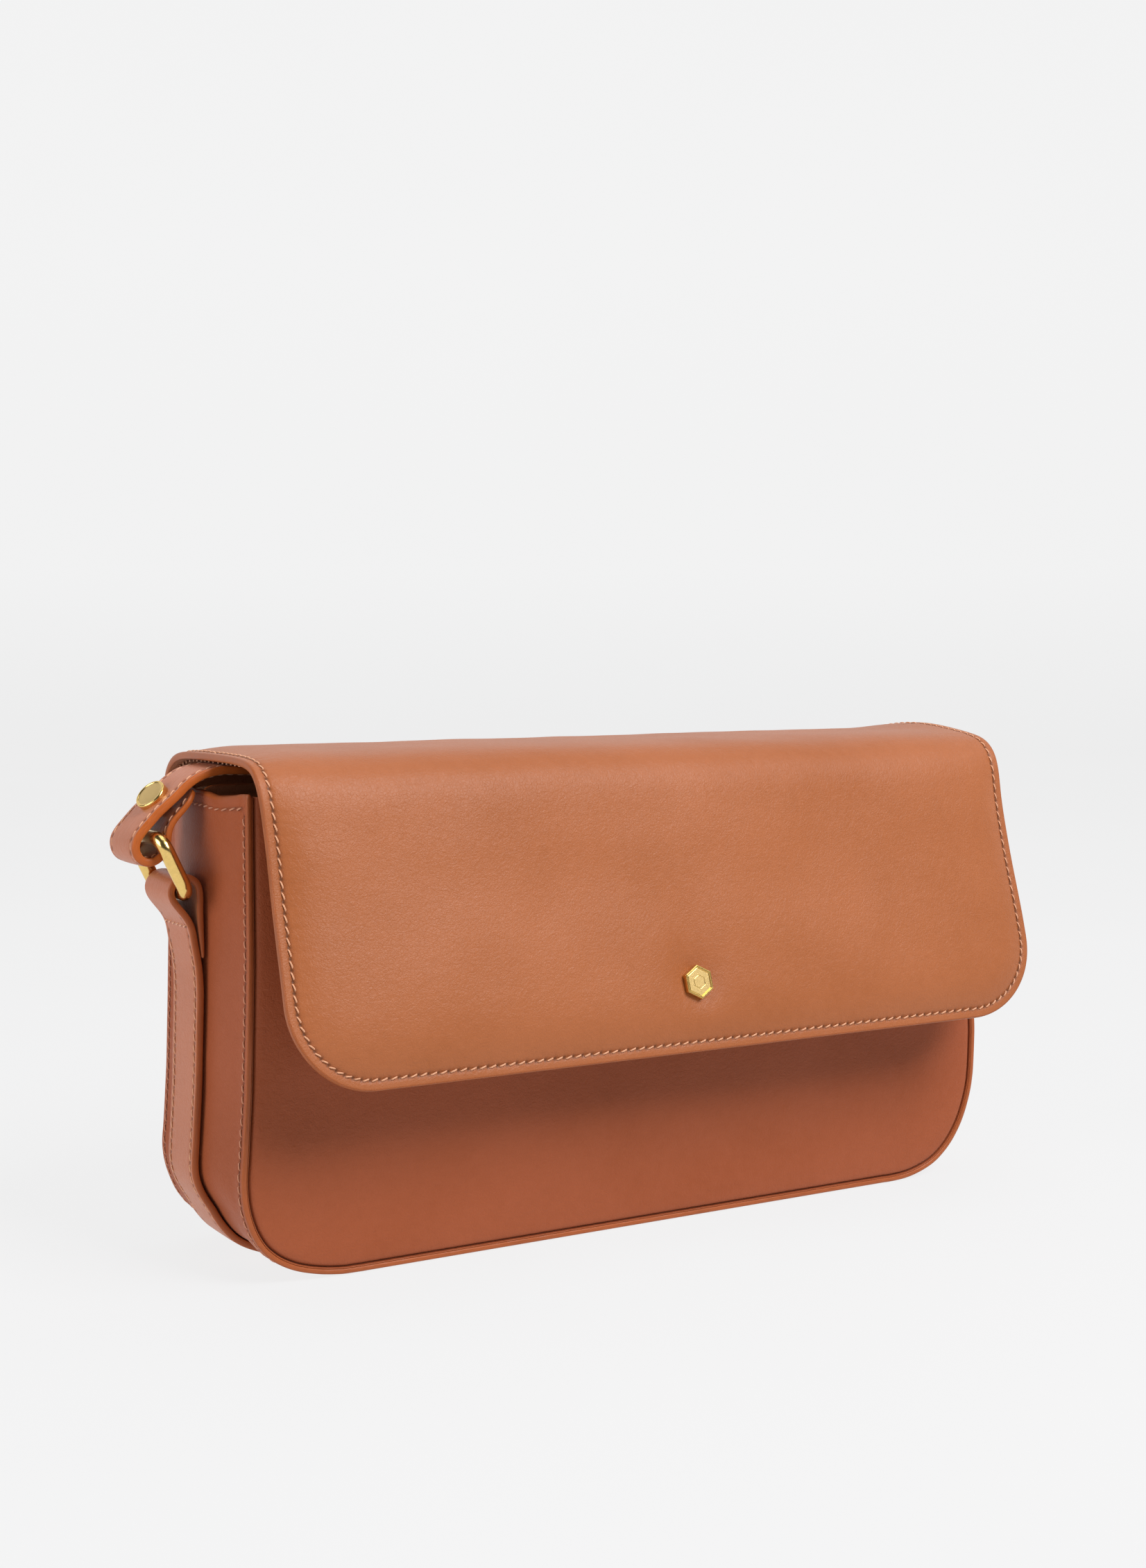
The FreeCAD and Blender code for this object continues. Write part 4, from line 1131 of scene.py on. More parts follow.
# ------------------------------------------------------------------------------------
# anchor strip: up from the base, over each ring's lower bar, and tucked back down
# ------------------------------------------------------------------------------------
left = [(-140.3, 94.5), (-140.55, 99.0), (-140.85, 104.0), (-140.95, 109.0)]
th = [0.8, 1.4, 1.9, 2.0]
for a in (0, 40, 80, 120, 160, 195):
    t = math.radians(a)
    left.append((-145.4 + 4.35 * math.cos(t), 114.0 + 4.35 * math.sin(t)))
left += [(-147.6, 109.6), (-145.3, 106.7), (-143.7, 103.6), (-142.95, 100.0), (-142.25, 96.0), (-141.5, 92.0), (-141.05, 87.5)]
STX = -140.85
dn = []
lp = Path(left + [(STX, 83.5), (STX, 79.5)])
cut = lp.where(1, 83.5, 0.8, 1.0)
upto = lp.q[lp.s <= cut]
corner = []
z = 83.4
while z > 37.1:
    corner.append((STX, z)); z -= 0.1
for k in range(0, 361):
    t = math.radians(0.25 * k)
    corner.append((-104.85 - 36 * math.cos(t), 37.05 - 36 * math.sin(t)))
x = -104.7
while x < 0:
    corner.append((x, 1.05)); x += 0.1
half_path = np.vstack([upto, corner])
full = np.vstack([half_path, [(-a, b) for a, b in half_path[::-1]]])
ap = Path.dense(full)
half_len = Path.dense(half_path).length
n = int(round(ap.length / 0.8))
ss = densify(np.linspace(0, ap.length, n + 1), np.array([0.0, 0.05, 0.2, 0.45, 0.75]))
pp, tt = ap.at(ss)
aP = np.stack([pp[:, 0], 0 * ss, pp[:, 1]], -1)
aT = np.stack([tt[:, 0], 0 * ss, tt[:, 1]], -1)
aN = np.stack([tt[:, 1], 0 * ss, -tt[:, 0]], -1)
aB = np.cross(aT, aN)
end_d = np.minimum(ss, ap.length - ss)
s_loop0 = lp.s[np.argmin(np.hypot(lp.q[:, 0] + 140.95, lp.q[:, 1] - 109.0))]
half_t = np.interp(end_d, [0, 4.5, 9.5, 14.5, 18], [0.45, 0.72, 0.95, 1.0, 1.05])
STRIP_ROW = 7.9
aw = Waves(51, 30)


def ann(lat, d):
    hole = 0.5 + 0.5 * np.cos(2 * math.pi * (d / PITCH))
    return hole


def strip_top(i, lat):
    lat = np.broadcast_to(lat, ss.shape)
    a = np.abs(lat)
    h = half_t - 0.26 * gauss(a, STRIP_ROW, 0.55) * (0.4 + 0.9 * ann(lat, ss) ** 2 * smooth(aP[:, 2], 4, 26)) * smooth(end_d, 38, 46)
    h = h + 0.10 * (1 - (lat / 10) ** 2) * smooth(end_d, 38, 60) + 0.05 * aw(ss, lat)
    h = h - 0.10 * np.exp(-(10.0 - a) / 0.6)
    return np.minimum(h, np.where((aN[:, 2] < -0.9) & (np.abs(aP[:, 0]) < 140), half_t, h))


def strip_back(i, lat):
    return -half_t + 0 * np.broadcast_to(lat, ss.shape)


av = np.r_[-1, -0.97, -0.93, -0.895, -0.87, -0.845, -0.82, -0.795, -0.765, -0.72, -0.62, -0.5, -0.33, -0.16, 0]
av = np.r_[av, -av[-2::-1]]
# painted shade in the stitch holes along both edge rows
strip = ribbon("anchor_strip_skin", aP, aN, aB, 20.0, strip_top, strip_back, [LEATHER_STRAP, EDGE, LEATHER_IN], vs=av,
               round_ends=(0.5, 0.5), edge_in=0.5, p0s=ss,
               painted_shade=lambda i, lat: stitch_hole_shade(np.abs(lat) - STRIP_ROW, ss, 0.75, 0.5) * (end_d > 40))
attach(strip, "bag_body")
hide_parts("anchor_strip")

# stitch rows: from the pinch below the ring, down the side, along the base and up again
s_pinch = lp.s[np.argmin(np.where(lp.s > 30, np.hypot(lp.q[:, 0] + 143.9, lp.q[:, 1] - 104.4), 1e9))]


def strip_at(s_at, y, lift):
    p, t = ap.at(s_at)
    P = np.stack([p[:, 0], y, p[:, 1]], -1)
    N = np.stack([t[:, 1], 0 * s_at, -t[:, 0]], -1)
    return P + N * lift, N


k0 = math.ceil((s_pinch + 3.5) / PITCH)
k1 = math.floor((ap.length - s_pinch - 3.5) / PITCH)
hs = np.arange(k0, k1 + 1) * PITCH
rows = []
for sy in (-1, 1):
    low = 1 - smooth(ap.at(hs)[0][:, 1], 8, 26)
    rows.append(strip_at(hs, np.full(len(hs), sy * STRIP_ROW), (0.92 - 0.34 * low)[:, None]))
for sp in (s_pinch, ap.length - s_pinch):
    ys = np.linspace(-9.0, 9.0, 7)
    rows.append(strip_at(np.full(len(ys), sp), ys, 1.1))
q = stitch_mesh("anchor_strip_stitches", THREAD, rows, lift=0.2)
# threads under the base stay clear of the ground
v = np.zeros(len(q.data.vertices) * 3)
q.data.vertices.foreach_get("co", v)
v = v.reshape(-1, 3)
v[:, 2] = np.maximum(v[:, 2], 0.00002)
q.data.vertices.foreach_set("co", v.ravel())
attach(q, "bag_body")

# ------------------------------------------------------------------------------------
# strap: two halves, each from the middle of the stowed run out to its ring
# ------------------------------------------------------------------------------------
END = [(-132.6, 149.3), (-136.2, 148.85), (-139.7, 147.95), (-142.3, 146.6), (-144.6, 145.0), (-146.6, 143.1), (-148.6, 141.0),
       (-150.5, 139.0), (-152.3, 137.1), (-154.1, 135.2), (-155.9, 133.3), (-157.5, 131.4), (-158.6, 129.2), (-158.9, 126.9),
       (-158.35, 124.7), (-156.9, 123.1), (-154.8, 122.6), (-152.7, 123.5), (-151.1, 125.2), (-150.15, 127.4), (-149.7, 129.8),
       (-149.35, 132.2), (-148.2, 135.1), (-146.36, 137.4), (-144.4, 139.6), (-142.7, 141.9), (-141.1, 143.6)]
END_T = [1.25] * 17 + [1.2, 1.12, 1.05, 0.98, 0.92, 0.88, 0.85, 0.85, 0.8, 0.7]
END = [(a - 1.3 * float(smooth(-a, 146, 153)), b + 0.8 * float(smooth(-a, 150, 156) * smooth(-b, -132, -126))) for a, b in END]
STUD_B = {-1: (-150.47, 140.86), 1: (150.47, 140.86)}
run, _ = outline_points([(0, 8.6, 0), (-103, 8.6, 24), (-107, 148, 15), (-132.2, 149.3, 0)], 1.0)
ep = Path([(-131.5, 149.33), (-132.0, 149.32)] + END)
ep0 = ep.where(0, -132.6, 0, 0.1)
end_q = ep.q[ep.s > ep0]
join = np.vstack([run, end_q])
sp_ = Path.dense(join)
s_end0 = Path.dense(run).length
STRAP_W = 20.0


def bag_smooth(a, k):
    w = np.hanning(2 * k + 3)[1:-1]
    w /= w.sum()
    return np.stack([np.convolve(np.pad(a[:, j], (k + 0, k + 0), mode="edge"), w, mode="valid") for j in range(a.shape[1])], -1)


for side, nm in ((-1, "left"), (1, "right")):
    total = sp_.length
    n = int(round(total / 0.8))
    ss2 = np.linspace(0, total, n + 1)
    ss2 = np.r_[ss2[:-2], total - np.array([1.2, 0.9, 0.55, 0.3, 0.12, 0.0])]
    p, t = sp_.at(ss2)
    t = bag_smooth(t, 2)
    t /= np.linalg.norm(t, axis=1)[:, None]
    m = -side
    sP = np.stack([p[:, 0] * m, 0 * ss2, p[:, 1]], -1)
    sT = np.stack([t[:, 0] * m, 0 * ss2, t[:, 1]], -1)
    sN = np.stack([t[:, 1] * m, 0 * ss2, -t[:, 0]], -1)
    if side > 0:
        sN = np.stack([-t[:, 1], 0 * ss2, -t[:, 0]], -1)
    sB = np.cross(sT, sN)
    # thickness along the path
    knots_s = [ep.s[np.argmin(np.hypot(ep.q[:, 0] - a, ep.q[:, 1] - b))] - ep0 + s_end0 for a, b in END]
    hw = np.interp(ss2, knots_s, END_T)
    tail0 = knots_s[16]
    w_half = 10.0 - 0.0 * ss2
    s_stud = ep.s[np.argmin(np.where(ep.s < 40, np.hypot(ep.q[:, 0] + 149.6, ep.q[:, 1] - 140.0), 1e9))] - ep0 + s_end0
    wv = Waves(61 + side, 34)

    def strap_top(i, lat, ss2=ss2, hw=hw, wv=wv, s_stud=s_stud, total=total):
        lat = np.broadcast_to(lat, ss2.shape)
        a = np.abs(lat)
        hole = 0.5 + 0.5 * np.cos(2 * math.pi * (total - ss2) / PITCH)
        h = hw - 0.24 * gauss(a, 7.9, 0.55) * (0.4 + 0.9 * hole ** 2)
        h = h + 0.12 * (1 - (lat / 10) ** 2) + 0.05 * wv(ss2, lat) - 0.08 * np.exp(-(10 - a) / 0.6)
        r = np.hypot(lat, ss2 - s_stud)
        h = h - 0.28 * np.exp(-(r / 6.2) ** 4)
        return h

    def strap_back(i, lat, ss2=ss2, hw=hw, total=total):
        lat = np.broadcast_to(lat, ss2.shape)
        hole = 0.5 + 0.5 * np.cos(2 * math.pi * (total - ss2) / PITCH)
        return -hw + 0.2 * gauss(np.abs(lat), 7.9, 0.55) * (0.4 + 0.9 * hole ** 2)

    # the tail's end is trimmed round
    hwid = np.full(len(ss2), 10.0)
    d_end = total - ss2
    cr = 5.0
    hwid = np.where(d_end < cr, 10.0 - cr + np.sqrt(np.clip(cr ** 2 - (cr - d_end) ** 2, 0.0, None)), hwid)
    # painted shade in the stitch holes along both edge rows
    o = ribbon("strap_skin_" + nm, sP, sN, sB, STRAP_W, strap_top, strap_back, [LEATHER_STRAP, EDGE_STRAP, LEATHER_STRAP], half_w=hwid,
               vs=av, round_ends=(0.0, 0.7), edge_in=0.55, p0s=ss2, caps=False,
               painted_shade=lambda i, lat, q=total - ss2: stitch_hole_shade(np.abs(lat) - 7.9, q, 0.75, 0.5))
    kk = np.arange(1, total / PITCH - 0.2)
    hs = (total - kk * PITCH)
    hs = hs[hs > 1.0]
    pr, tr = sp_.at(hs)
    Pn = np.stack([pr[:, 0] * m, 0 * hs, pr[:, 1]], -1)
    Nn = np.stack([tr[:, 1] * m, 0 * hs, -tr[:, 0]], -1)
    if side > 0:
        Nn = np.stack([-tr[:, 1], 0 * hs, -tr[:, 0]], -1)
    hh = np.interp(hs, knots_s, END_T)
    rows = []
    for sy in (-1, 1):
        Y = np.zeros((len(hs), 3))
        Y[:, 1] = sy * 7.9
        rows.append((Pn + Y + Nn * (hh - 0.12)[:, None], Nn))
        rows.append((Pn + Y - Nn * (hh - 0.12)[:, None], -Nn))
    q = stitch_mesh("strap_stitches_" + nm, THREAD, rows, lift=0.2)
    for w in (o, q):
        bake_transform(w)
    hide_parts("strap_end_%s_face" % nm, "strap_end_%s_backing" % nm, "strap_middle_face", "strap_middle_backing")

# ------------------------------------------------------------------------------------
# metal: rings, studs, snap
# ------------------------------------------------------------------------------------


def lathe(name, origin, axis, prof, mats, mat_of=None, seg=64):
    """Turned part: prof = [(radius, height along axis)] from the centre of the head outwards."""
    ax = np.array(axis, float)
    ax /= np.linalg.norm(ax)
    u = np.cross(ax, (0, 1, 0.02))
    if np.linalg.norm(u) < 0.2:
        u = np.cross(ax, (1, 0, 0))
    u /= np.linalg.norm(u)
    w = np.cross(ax, u)
    o = np.array(origin, float)
    verts, faces, mi, p0 = [], [], [], []
    n = len(prof)
    for r, h in prof:
        for k in range(seg):
            a = 2 * math.pi * k / seg
            verts.append(o + ax * h + (u * math.cos(a) + w * math.sin(a)) * r)
            p0.append((r * math.cos(a), r * math.sin(a), h))
    for i in range(n - 1):
        for k in range(seg):
            q = (k + 1) % seg
            faces.append((i * seg + k, (i + 1) * seg + k, (i + 1) * seg + q, i * seg + q))
            mi.append(mat_of(i) if mat_of else 0)
    faces.append(tuple(range(seg)))
    mi.append(mat_of(0) if mat_of else 0)
    faces.append(tuple((n - 1) * seg + k for k in range(seg - 1, -1, -1)))
    mi.append(0)
    return make_mesh(name, verts, faces, mats, mi, p0)


def arc(cx, cy, r, a0, a1, n=6):
    return [(cx + r * math.cos(math.radians(a0 + (a1 - a0) * k / n)), cy + r * math.sin(math.radians(a0 + (a1 - a0) * k / n))) for k in range(n + 1)]


# wire rings
RB, RT = (-146.0, 113.8), (-153.8, 130.1)
rl = math.hypot(RT[0] - RB[0], RT[1] - RB[1])
ru = ((RT[0] - RB[0]) / rl, (RT[1] - RB[1]) / rl)
pts = []
RC = 4.0
for cy, cz, a0 in ((13 - RC, rl - RC, 0), (-13 + RC, rl - RC, 90), (-13 + RC, RC, 180), (13 - RC, RC, 270)):
    for k in range(13):
        a = math.radians(a0 + 90 * k / 12)
        pts.append((cy + RC * math.cos(a), cz + RC * math.sin(a)))
q0 = []
for k in range(len(pts)):
    a, b = np.array(pts[k]), np.array(pts[(k + 1) % len(pts)])
    d = np.linalg.norm(b - a)
    c = max(1, int(d / 0.8))
    q0 += [a + (b - a) * j / c for j in range(c)]
q0 = np.array(q0)
for side, nm in ((-1, "left"), (1, "right")):
    C = np.stack([-side * (RB[0] + ru[0] * q0[:, 1]), q0[:, 0], RB[1] + ru[1] * q0[:, 1]], -1)
    T = np.roll(C, -1, 0) - np.roll(C, 1, 0)
    T /= np.linalg.norm(T, axis=1)[:, None]
    nrm = np.cross((-side * ru[0], 0, ru[1]), (0, 1, 0))
    nrm = np.broadcast_to(nrm / np.linalg.norm(nrm), C.shape)
    S = np.cross(T, nrm)
    seg = 28
    a = 2 * math.pi * np.arange(seg) / seg
    Vt = C[:, None] + 2.2 * (nrm[:, None] * np.cos(a)[None, :, None] + S[:, None] * np.sin(a)[None, :, None])
    k = len(C)
    faces = [(i * seg + j, ((i + 1) % k) * seg + j, ((i + 1) % k) * seg + (j + 1) % seg, i * seg + (j + 1) % seg) for i in range(k) for j in range(seg)]
    p0 = np.zeros(Vt.shape)
    p0[..., 0] = np.arange(k)[:, None] * 0.8
    p0[..., 1] = np.arange(seg)[None] * 0.5
    o = make_mesh("ring_wire_" + nm, Vt.reshape(-1, 3), faces, [BRASS_RIM], None, p0.reshape(-1, 3))
    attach(o, "ring_" + nm)
    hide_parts("ring_" + nm)

# strap studs and their screws
head = [(0.02, 2.32), (1.5, 2.32), (3.6, 2.3), (4.0, 2.26), (4.1, 2.36), (4.2, 2.44)] + arc(4.42, 2.0, 0.46, 70, 0, 5) + [(4.88, 0.6), (4.84, -0.6), (4.6, -0.95), (2.2, -0.95), (2.1, -1.1), (2.1, -6.0)]
for side, nm in ((-1, "left"), (1, "right")):
    b0 = np.array([side * 150.95, 0, 141.05])
    ax = np.array([side * 0.725, 0, 0.689])
    ax /= np.linalg.norm(ax)
    lean = ax + (0, -0.24, 0)
    lean /= np.linalg.norm(lean)
    o = lathe("strap_stud_head_" + nm, b0, lean, head, [BRASS_BRUSH, BRASS_RIM], lambda i: 0 if i < 3 else 1)
    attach(o, "strap_end_" + nm)
    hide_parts("strap_stud_" + nm)
    base = b0 - ax * 6.9
    o = lathe("strap_screw_head_" + nm, base, ax, [(2.0, 1.1), (3.2, 1.1), (3.5, 1.0), (3.6, 0.8), (3.6, 0.3), (3.5, 0.1), (3.3, 0.0), (2.0, 0.0), (1.8, 0.25), (0.05, 0.3)], [BRASS_RIM])
    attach(o, "strap_end_" + nm)
    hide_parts("strap_screw_" + nm)

# snap socket on the front panel, and its washer
o = lathe("snap_socket_cup", (0, -30.0, SNAP_Z), (0, -1, 0),
          [(0.05, 0.9), (2.7, 0.9), (2.95, 1.0), (3.0, 1.2), (3.0, 1.7), (3.15, 2.0), (3.5, 2.1), (4.6, 2.05), (5.5, 1.85), (5.9, 1.5), (6.0, 1.0), (6.0, 0.1), (5.8, 0.0), (1.9, 0.0), (1.9, -1.8)], [BRASS_RIM])
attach(o, "bag_body")
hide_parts("snap_socket")
o = lathe("snap_washer_disc", (0, -28.0, SNAP_Z), (0, -1, 0), [(2.2, 0.0), (5.3, 0.0), (5.5, -0.1), (5.5, -0.4), (5.3, -0.5), (2.2, -0.5)], [BRASS_RIM])
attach(o, "bag_body")
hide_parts("snap_socket_washer")

# hexagonal stud on the flap: raised bevelled rim round a plain brushed field
p, t = flap_path.at(np.array([T_STUD]))
SC = np.array([0.0, p[0, 0], p[0, 1]])
SN = np.array([0.0, -t[0, 1], t[0, 0]])
SU = np.array([0.0, t[0, 0], t[0, 1]])
SX = np.array([1.0, 0, 0])


def hex_ring(r, h, corner, n=5, turn=32.0):
    out = []
    for k in range(6):
        a = math.radians(60 * k + turn)
        c = np.array([math.cos(a), math.sin(a)]) * r
        for j in range(n):
            f = (j / (n - 1) - 0.5)
            b = a + f * math.radians(60) * 1.0
            cc = np.array([math.cos(a), math.sin(a)]) * (r - corner / math.cos(math.radians(30)))
            out.append(cc + corner * np.array([math.cos(b), math.sin(b)]))
    return [SC + SX * q[0] + SU * q[1] + SN * h for q in out], out


rings = [(5.36, -0.3, 0.45), (5.40, 2.6, 0.45), (5.36, 3.05, 0.45), (5.26, 3.25, 0.42), (5.10, 3.34, 0.4), (4.86, 3.36, 0.36), (4.62, 3.34, 0.33), (4.52, 3.28, 0.3), (4.46, 3.14, 0.28), (4.38, 3.08, 0.26),
         (4.26, 3.11, 0.26), (4.20, 3.14, 0.26), (2.30, 3.14, 0.16), (2.24, 3.11, 0.16), (2.14, 3.09, 0.16), (2.04, 3.11, 0.16), (1.98, 3.14, 0.15), (0.9, 3.14, 0.1), (0.3, 3.14, 0.05)]
verts, p0 = [], []
for r, h, c in rings:
    a, b = hex_ring(r, h, c)
    verts += a
    p0 += [(q[0], q[1], h) for q in b]
m = len(b)
faces, mi = [], []
for i in range(len(rings) - 1):
    for k in range(m):
        q = (k + 1) % m
        faces.append((i * m + k, i * m + q, (i + 1) * m + q, (i + 1) * m + k))
        mi.append(0 if i in (11, 16, 17) else 1)
faces.append(tuple((len(rings) - 1) * m + k for k in range(m)))
mi.append(0)
faces.append(tuple(range(m - 1, -1, -1)))
mi.append(1)
o = make_mesh("flap_hex_stud", verts, faces, [BRASS_BRUSH, BRASS_STUD], mi, p0, smooth_shade=False)
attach(o, "flap_front")
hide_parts("flap_stud")
back = SC - SN * 3.35
o = lathe("flap_snap_ball", back, -SN, [(0.05, 2.6), (1.2, 2.55), (1.8, 2.3), (2.05, 1.9), (2.05, 1.5), (1.8, 1.1), (1.8, 0.95), (5.2, 0.9), (5.8, 0.75), (6.0, 0.45), (5.9, 0.1), (5.6, 0.0), (1.0, 0.0)], [BRASS_RIM])
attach(o, "flap_front")
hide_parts("flap_snap_male")

# ------------------------------------------------------------------------------------
# inside: lining on the panels and gusset, leather mouth facings, slip pocket, boards
# ------------------------------------------------------------------------------------


def plain_panel(name, half, bottom, top, r, y, ny, amp, mats, thick, seed, replaced, r_top=5.5, spacing=4.0, rise=None, stitch=None, stitch_mat=None):
    c = [(0, top, 0), (-half, top, r_top), (-half, bottom, r), (half, bottom, r), (half, top, r_top), (0, top, 0)]
    b2, step = outline_points(c, 1.6)
    b2 = b2[:-1]
    wv, wv2 = Waves(seed, 60), Waves(seed + 1, 18)

    def F(s, t):
        return np.stack([s, 0 * s + y, t], -1), np.stack([0 * s, 0 * s + ny, 0 * s], -1).astype(float)

    def hf(s, t, inset, L):
        k = smooth(inset, 0, 12)
        h = amp * k * (0.7 * wv(s, t) + 0.3 * wv2(s, t))
        if rise is not None:
            h = h + rise(s, t) * smooth(inset, 1.5, 6)
        if stitch:
            h = h - 0.2 * gauss(inset, stitch, 0.6)
        return h

    o = panel(name, b2, True, [0.3, 0.8, 1.6, 2.2, 2.7, 3.2, 3.8, 4.6], hf, F, lambda s, t, i, L: thick + 0 * s, mats, spacing=spacing,
              edge=min(0.3, thick / 2), Ls=np.arange(len(b2)) * step, flip=(ny > 0))
    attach(o, "bag_body")
    if replaced:
        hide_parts(*replaced)
    return o, F, hf


for side, nm in ((-1, "front"), (1, "back")):
    ny = -side
    # lining faces the inside of the bag
    plain_panel(nm + "_lining_cloth", 131.2, 5.9, 142.0, 29.2, side * 26.1, ny, 0.12, [TWILL, TWILL, TWILL], 0.4, 70 + side, [nm + "_lining"])
    o, F, hf = plain_panel("mouth_facing_" + nm + "_skin", 127.8, 121.0, 142.5, 5.5, side * 24.85, ny, 0.0, [LEATHER_IN, EDGE, LEATHER_IN], 0.85, 80 + side,
                           ["mouth_facing_" + nm], stitch=3.2)
    xs = np.arange(-124.8, 124.9, PITCH)
    P, N = F(xs, np.full(len(xs), 124.2))
    q = stitch_mesh("mouth_facing_" + nm + "_stitches", THREAD_BODY, [(P + N * -0.05, N)], lift=0.14, radius=0.2)
    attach(q, "bag_body")

o, F, hf = plain_panel("slip_pocket_skin", 70, 42, 114, 8.0, 25.0, -1, 0.1, [LEATHER_IN, EDGE, LEATHER_IN], 0.5, 90, ["slip_pocket"], stitch=2.4,
                       rise=lambda s, t: 0.35 * smooth(t, 50, 110) * (1 - (s / 70) ** 2))
c = [(-67.6, 112, 0), (-67.6, 44.4, 6), (67.6, 44.4, 6), (67.6, 112, 0)]
b2, step = outline_points(c, PITCH)
P, N = F(b2[:, 0], b2[:, 1])
q = stitch_mesh("slip_pocket_stitches", THREAD_BODY, [(P - N * 0.05, N)], lift=0.14, radius=0.2)
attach(q, "bag_body")

# gusset lining
c = [(-131.3, 121.5, 0), (-131.3, 5.9, 31.2), (131.3, 5.9, 31.2), (131.3, 121.5, 0)]
b2, step = outline_points(c, 3.0)
d = np.gradient(b2, axis=0)
d /= np.linalg.norm(d, axis=1)[:, None]
lP = np.stack([b2[:, 0], 0 * b2[:, 0], b2[:, 1]], -1)
lT = np.stack([d[:, 0], 0 * d[:, 0], d[:, 1]], -1)
lN = np.stack([-d[:, 1], 0 * d[:, 0], d[:, 0]], -1)
lB = np.cross(lT, lN)
lw = Waves(95, 40)
ls = np.r_[0, np.cumsum(np.linalg.norm(np.diff(lP, axis=0), axis=1))]
o = ribbon("gusset_lining_cloth", lP, lN, lB, 49.6,
           lambda i, lat: 0.12 * lw(ls, np.broadcast_to(lat, ls.shape)) * (1 - (lat / 25.0) ** 2) - 0.15,
           lambda i, lat: -0.55 + 0 * np.broadcast_to(lat, ls.shape), [TWILL, TWILL, TWILL], edge_in=0.3, p0s=ls)
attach(o, "bag_body")
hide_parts("gusset_lining")

for nm in ("front_board", "back_board", "base_board"):
    o = NODES[nm]
    o.data.materials.clear()
    o.data.materials.append(BOARD)

# ------------------------------------------------------------------------------------
# the soft body spreads towards the bottom corners
# ------------------------------------------------------------------------------------
SPREAD = {-1: [(-90, 0), (-85, 0.05), (-73, 1.0), (-64, 2.1), (-54, 3.7), (-46, 4.8), (-38, 5.4), (-30, 5.1), (-20, 4.3), (-10, 3.3), (0, 2.5),
               (4, 2.2), (20, 1.2), (41, 0.5), (60, 0)],
          1: [(-90, 0), (-82, 0.3), (-67, 1.6), (-54, 2.9), (-42, 3.3), (-30, 3.3), (-18, 3.2), (-5, 3.5), (6, 4.0), (14, 4.2), (28, 3.2), (45, 1.2), (62, 0)]}


def spread(o):
    me = o.data
    v = np.zeros(len(me.vertices) * 3)
    me.vertices.foreach_get("co", v)
    v = v.reshape(-1, 3) / MM
    x, z = np.abs(v[:, 0]), v[:, 2]
    cx, cz = W_HALF - CORNER_R, SEAM_Z + CORNER_R
    dx, dz = np.maximum(x - cx, 0), np.maximum(cz - z, 0)
    phi = np.degrees(np.arctan2(dz, np.maximum(dx, 1e-6)))
    tau = np.where(z > cz, z - cz, -phi)
    r = np.hypot(dx, dz)
    nx = np.where(z > cz, 1.0, dx / np.maximum(r, 1e-6))
    nz = np.where(z > cz, 0.0, -dz / np.maximum(r, 1e-6))
    inset = np.where(z > cz, W_HALF - x, CORNER_R - r)
    inset = np.where((x < cx) & (z < cz), 99, np.where((x < cx), W_HALF - x, inset))
    out = np.zeros(len(v))
    for side in (-1, 1):
        t = np.array(SPREAD[side])
        k = np.linspace(-90, 120, 421)
        f = np.interp(k, t[:, 0], t[:, 1])
        w = np.hanning(21)
        f = np.convolve(np.pad(f, 10, mode="edge"), w / w.sum(), mode="valid")
        m = (v[:, 0] * side) > 0
        out[m] = np.interp(tau[m], k, f)
    out *= 1 - smooth(inset, 0, 34)
    # the corners spread most along the front rim
    arc = smooth(-tau, 5, 25) * (v[:, 0] < 0)
    rims = np.maximum(smooth(-v[:, 1], 14, 27), 0.5 * smooth(v[:, 1], 14, 27))
    out *= 1 - (0.62 * arc + 0.34 * smooth(-tau, 38, 62) * (v[:, 0] < 0)) * (1 - rims)
    # the back of the left side leans out
    lean = 1.0 * smooth(tau, -80, -20) * (1 - smooth(tau, 78, 108)) + 0.7 * gauss(tau, -24, 14)
    out += (v[:, 0] < 0) * smooth(v[:, 1], 8, 27) * lean * (1 - smooth(inset, 0, 34))
    out = np.minimum(out, 0.85 * np.maximum(z, 0) / np.maximum(-nz, 0.02))
    v[:, 0] += np.sign(v[:, 0]) * nx * out
    v[:, 2] += nz * out
    me.vertices.foreach_set("co", (v * MM).ravel())
    me.update()


for nm in ("gusset_skin", "gusset_stitches", "front_panel_skin", "back_panel_skin", "anchor_strip_skin", "anchor_strip_stitches",
           "gusset_lining_cloth", "front_lining_cloth", "back_lining_cloth"):
    spread(bpy.data.objects[nm])

# ------------------------------------------------------------------------------------
# stage: pale seamless floor and wall, soft light, camera
# ------------------------------------------------------------------------------------
sm, snt, sb = new_mat("seamless_paper")
sv = coords(snt, False)
snt.links.new(ramp(snt, noise(snt, sv, 0.002, 3), [(0.3, (0.066, 0.066, 0.068, 1)), (0.7, (0.074, 0.074, 0.076, 1))]), sb.inputs["Base Color"])
sb.inputs["Roughness"].default_value = 1.0
sb.inputs["Specular IOR Level"].default_value = 0.0
sb.inputs["Emission Color"].default_value = (1, 1, 1, 1)
height = snt.nodes.new("ShaderNodeSeparateXYZ")
snt.links.new(sv, height.inputs[0])
snt.links.new(maprange(snt, height.outputs["Z"], 0.0, 300.0, 0.81, 0.855), sb.inputs["Emission Strength"])
verts, faces = [], []
prof = [(-12000.0, -0.05)]
prof += [(2600.0 + 900 * math.sin(a), 900 - 0.05 - 900 * math.cos(a)) for a in np.linspace(0, math.pi / 2, 20)]
prof += [(3500.0, 12000.0)]
dirv = (math.sin(math.radians(31.2)), math.cos(math.radians(31.2)))
for u, z in prof:
    for w in (-14000, 14000):
        verts.append((dirv[0] * u + dirv[1] * w, dirv[1] * u - dirv[0] * w, z))
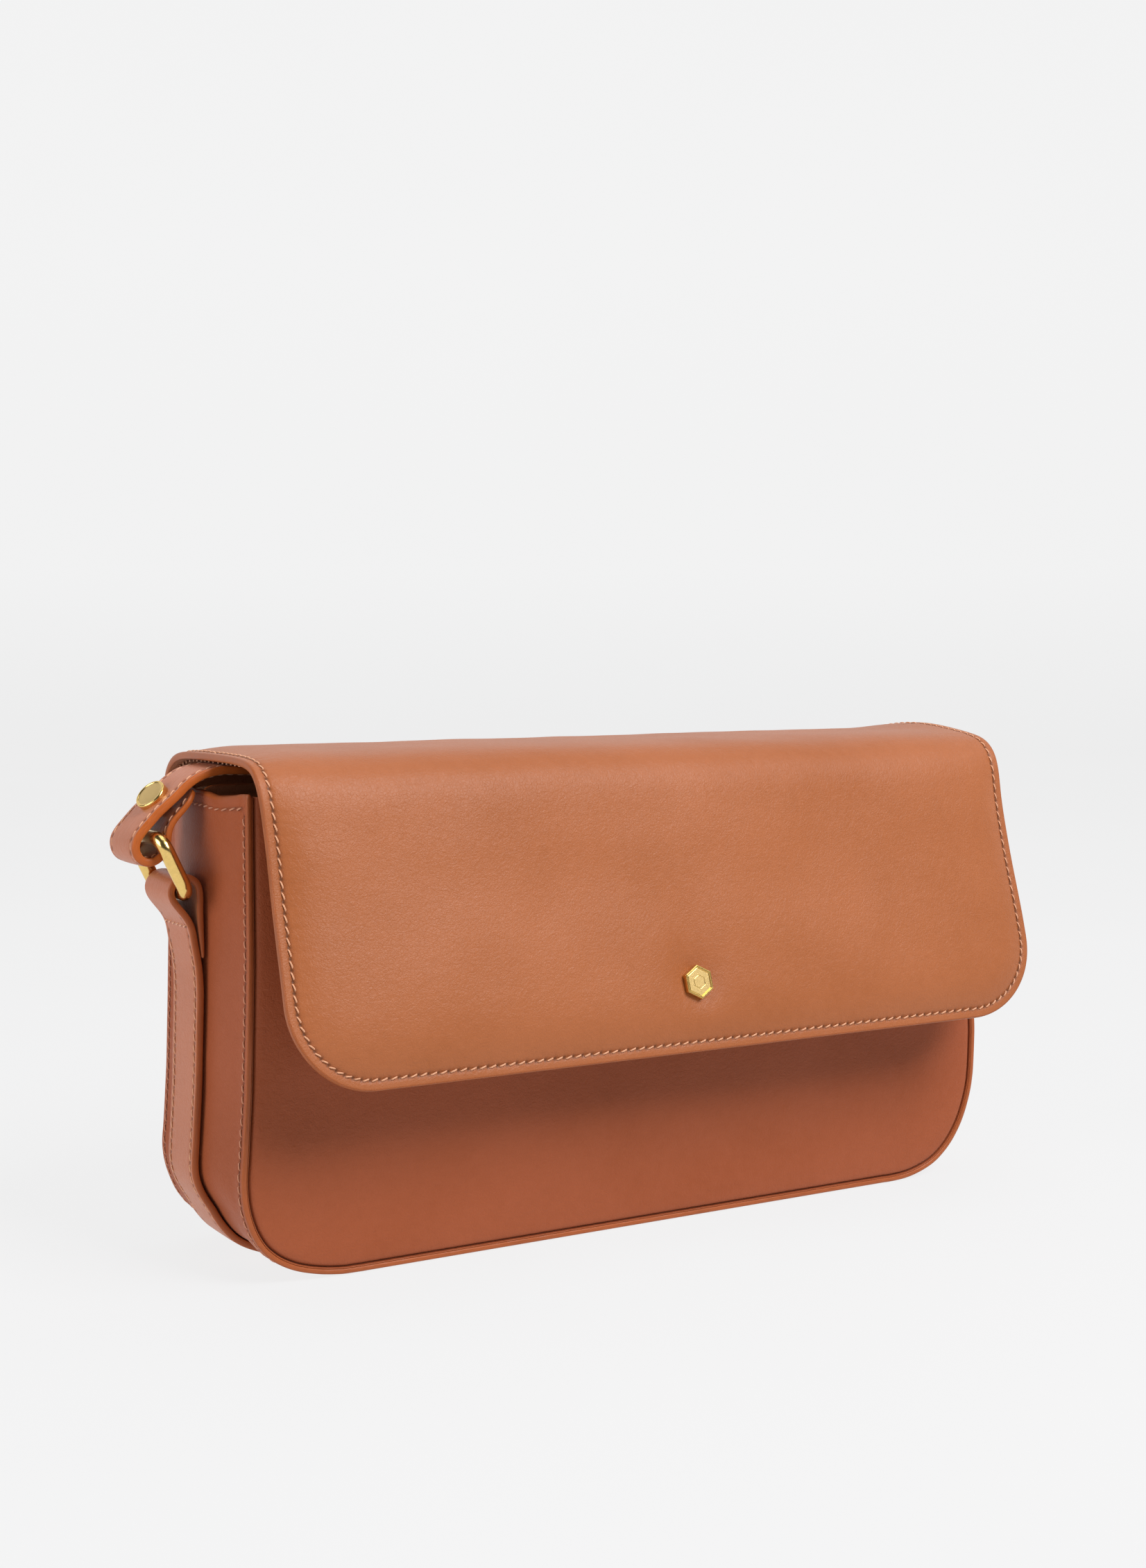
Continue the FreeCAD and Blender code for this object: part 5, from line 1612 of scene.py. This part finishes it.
for k in range(len(prof) - 1):
    faces.append((2 * k, 2 * k + 1, 2 * k + 3, 2 * k + 2))
floor = make_mesh("seamless_floor", verts, faces, [sm])


def area(name, loc, target, size, power, size_y=None, color=(1, 1, 1)):
    l = bpy.data.lights.new(name, "AREA")
    l.energy = power
    l.color = color
    l.size = size
    if size_y:
        l.shape = "RECTANGLE"
        l.size_y = size_y
    o = bpy.data.objects.new(name, l)
    o.location = loc
    o.rotation_euler = (Vector(target) - Vector(loc)).to_track_quat("-Z", "Y").to_euler()
    bpy.context.scene.collection.objects.link(o)
    return o


KEY_AZ, KEY_EL = math.radians(22), math.radians(44)
key_dir = (math.sin(KEY_AZ) * math.cos(KEY_EL), -math.cos(KEY_AZ) * math.cos(KEY_EL), math.sin(KEY_EL))
area("softbox_key", [0.02 + 1.7 * key_dir[0], -0.03 + 1.7 * key_dir[1], 0.08 + 1.7 * key_dir[2]], (0.02, -0.03, 0.08), 0.85, 29.5)
area("softbox_front", (0.35, -1.35, 0.98), (-0.05, -0.05, 0.1), 0.4, 2.5)
area("softbox_left", (-1.55, -0.12, 0.62), (-0.1, 0, 0.08), 0.9, 12.5)
area("softbox_top", (0.0, -0.15, 1.6), (0, 0, 0.15), 0.9, 4)
world = bpy.data.worlds.new("studio")
world.use_nodes = True
bg = world.node_tree.nodes["Background"]
bg.inputs["Color"].default_value = (1, 1, 1, 1)
bg.inputs["Strength"].default_value = 0.06
bpy.context.scene.world = world
bpy.context.scene.view_settings.view_transform = "Standard"
bpy.context.scene.view_settings.look = "None"

cam = bpy.data.cameras.new("camera")
cam.lens = 49.12
cam.sensor_width = 36
cam.clip_start = 0.01
cam.clip_end = 50
co = bpy.data.objects.new("camera", cam)
az, el = math.radians(31.2), math.radians(4.05)
dvec = Vector((math.sin(az) * math.cos(el), math.cos(az) * math.cos(el), -math.sin(el)))
co.location = (-0.3692, -0.5964, 0.1894)
co.rotation_euler = dvec.to_track_quat("-Z", "Y").to_euler()
bpy.context.scene.collection.objects.link(co)
bpy.context.scene.camera = co
bpy.context.view_layer.update()
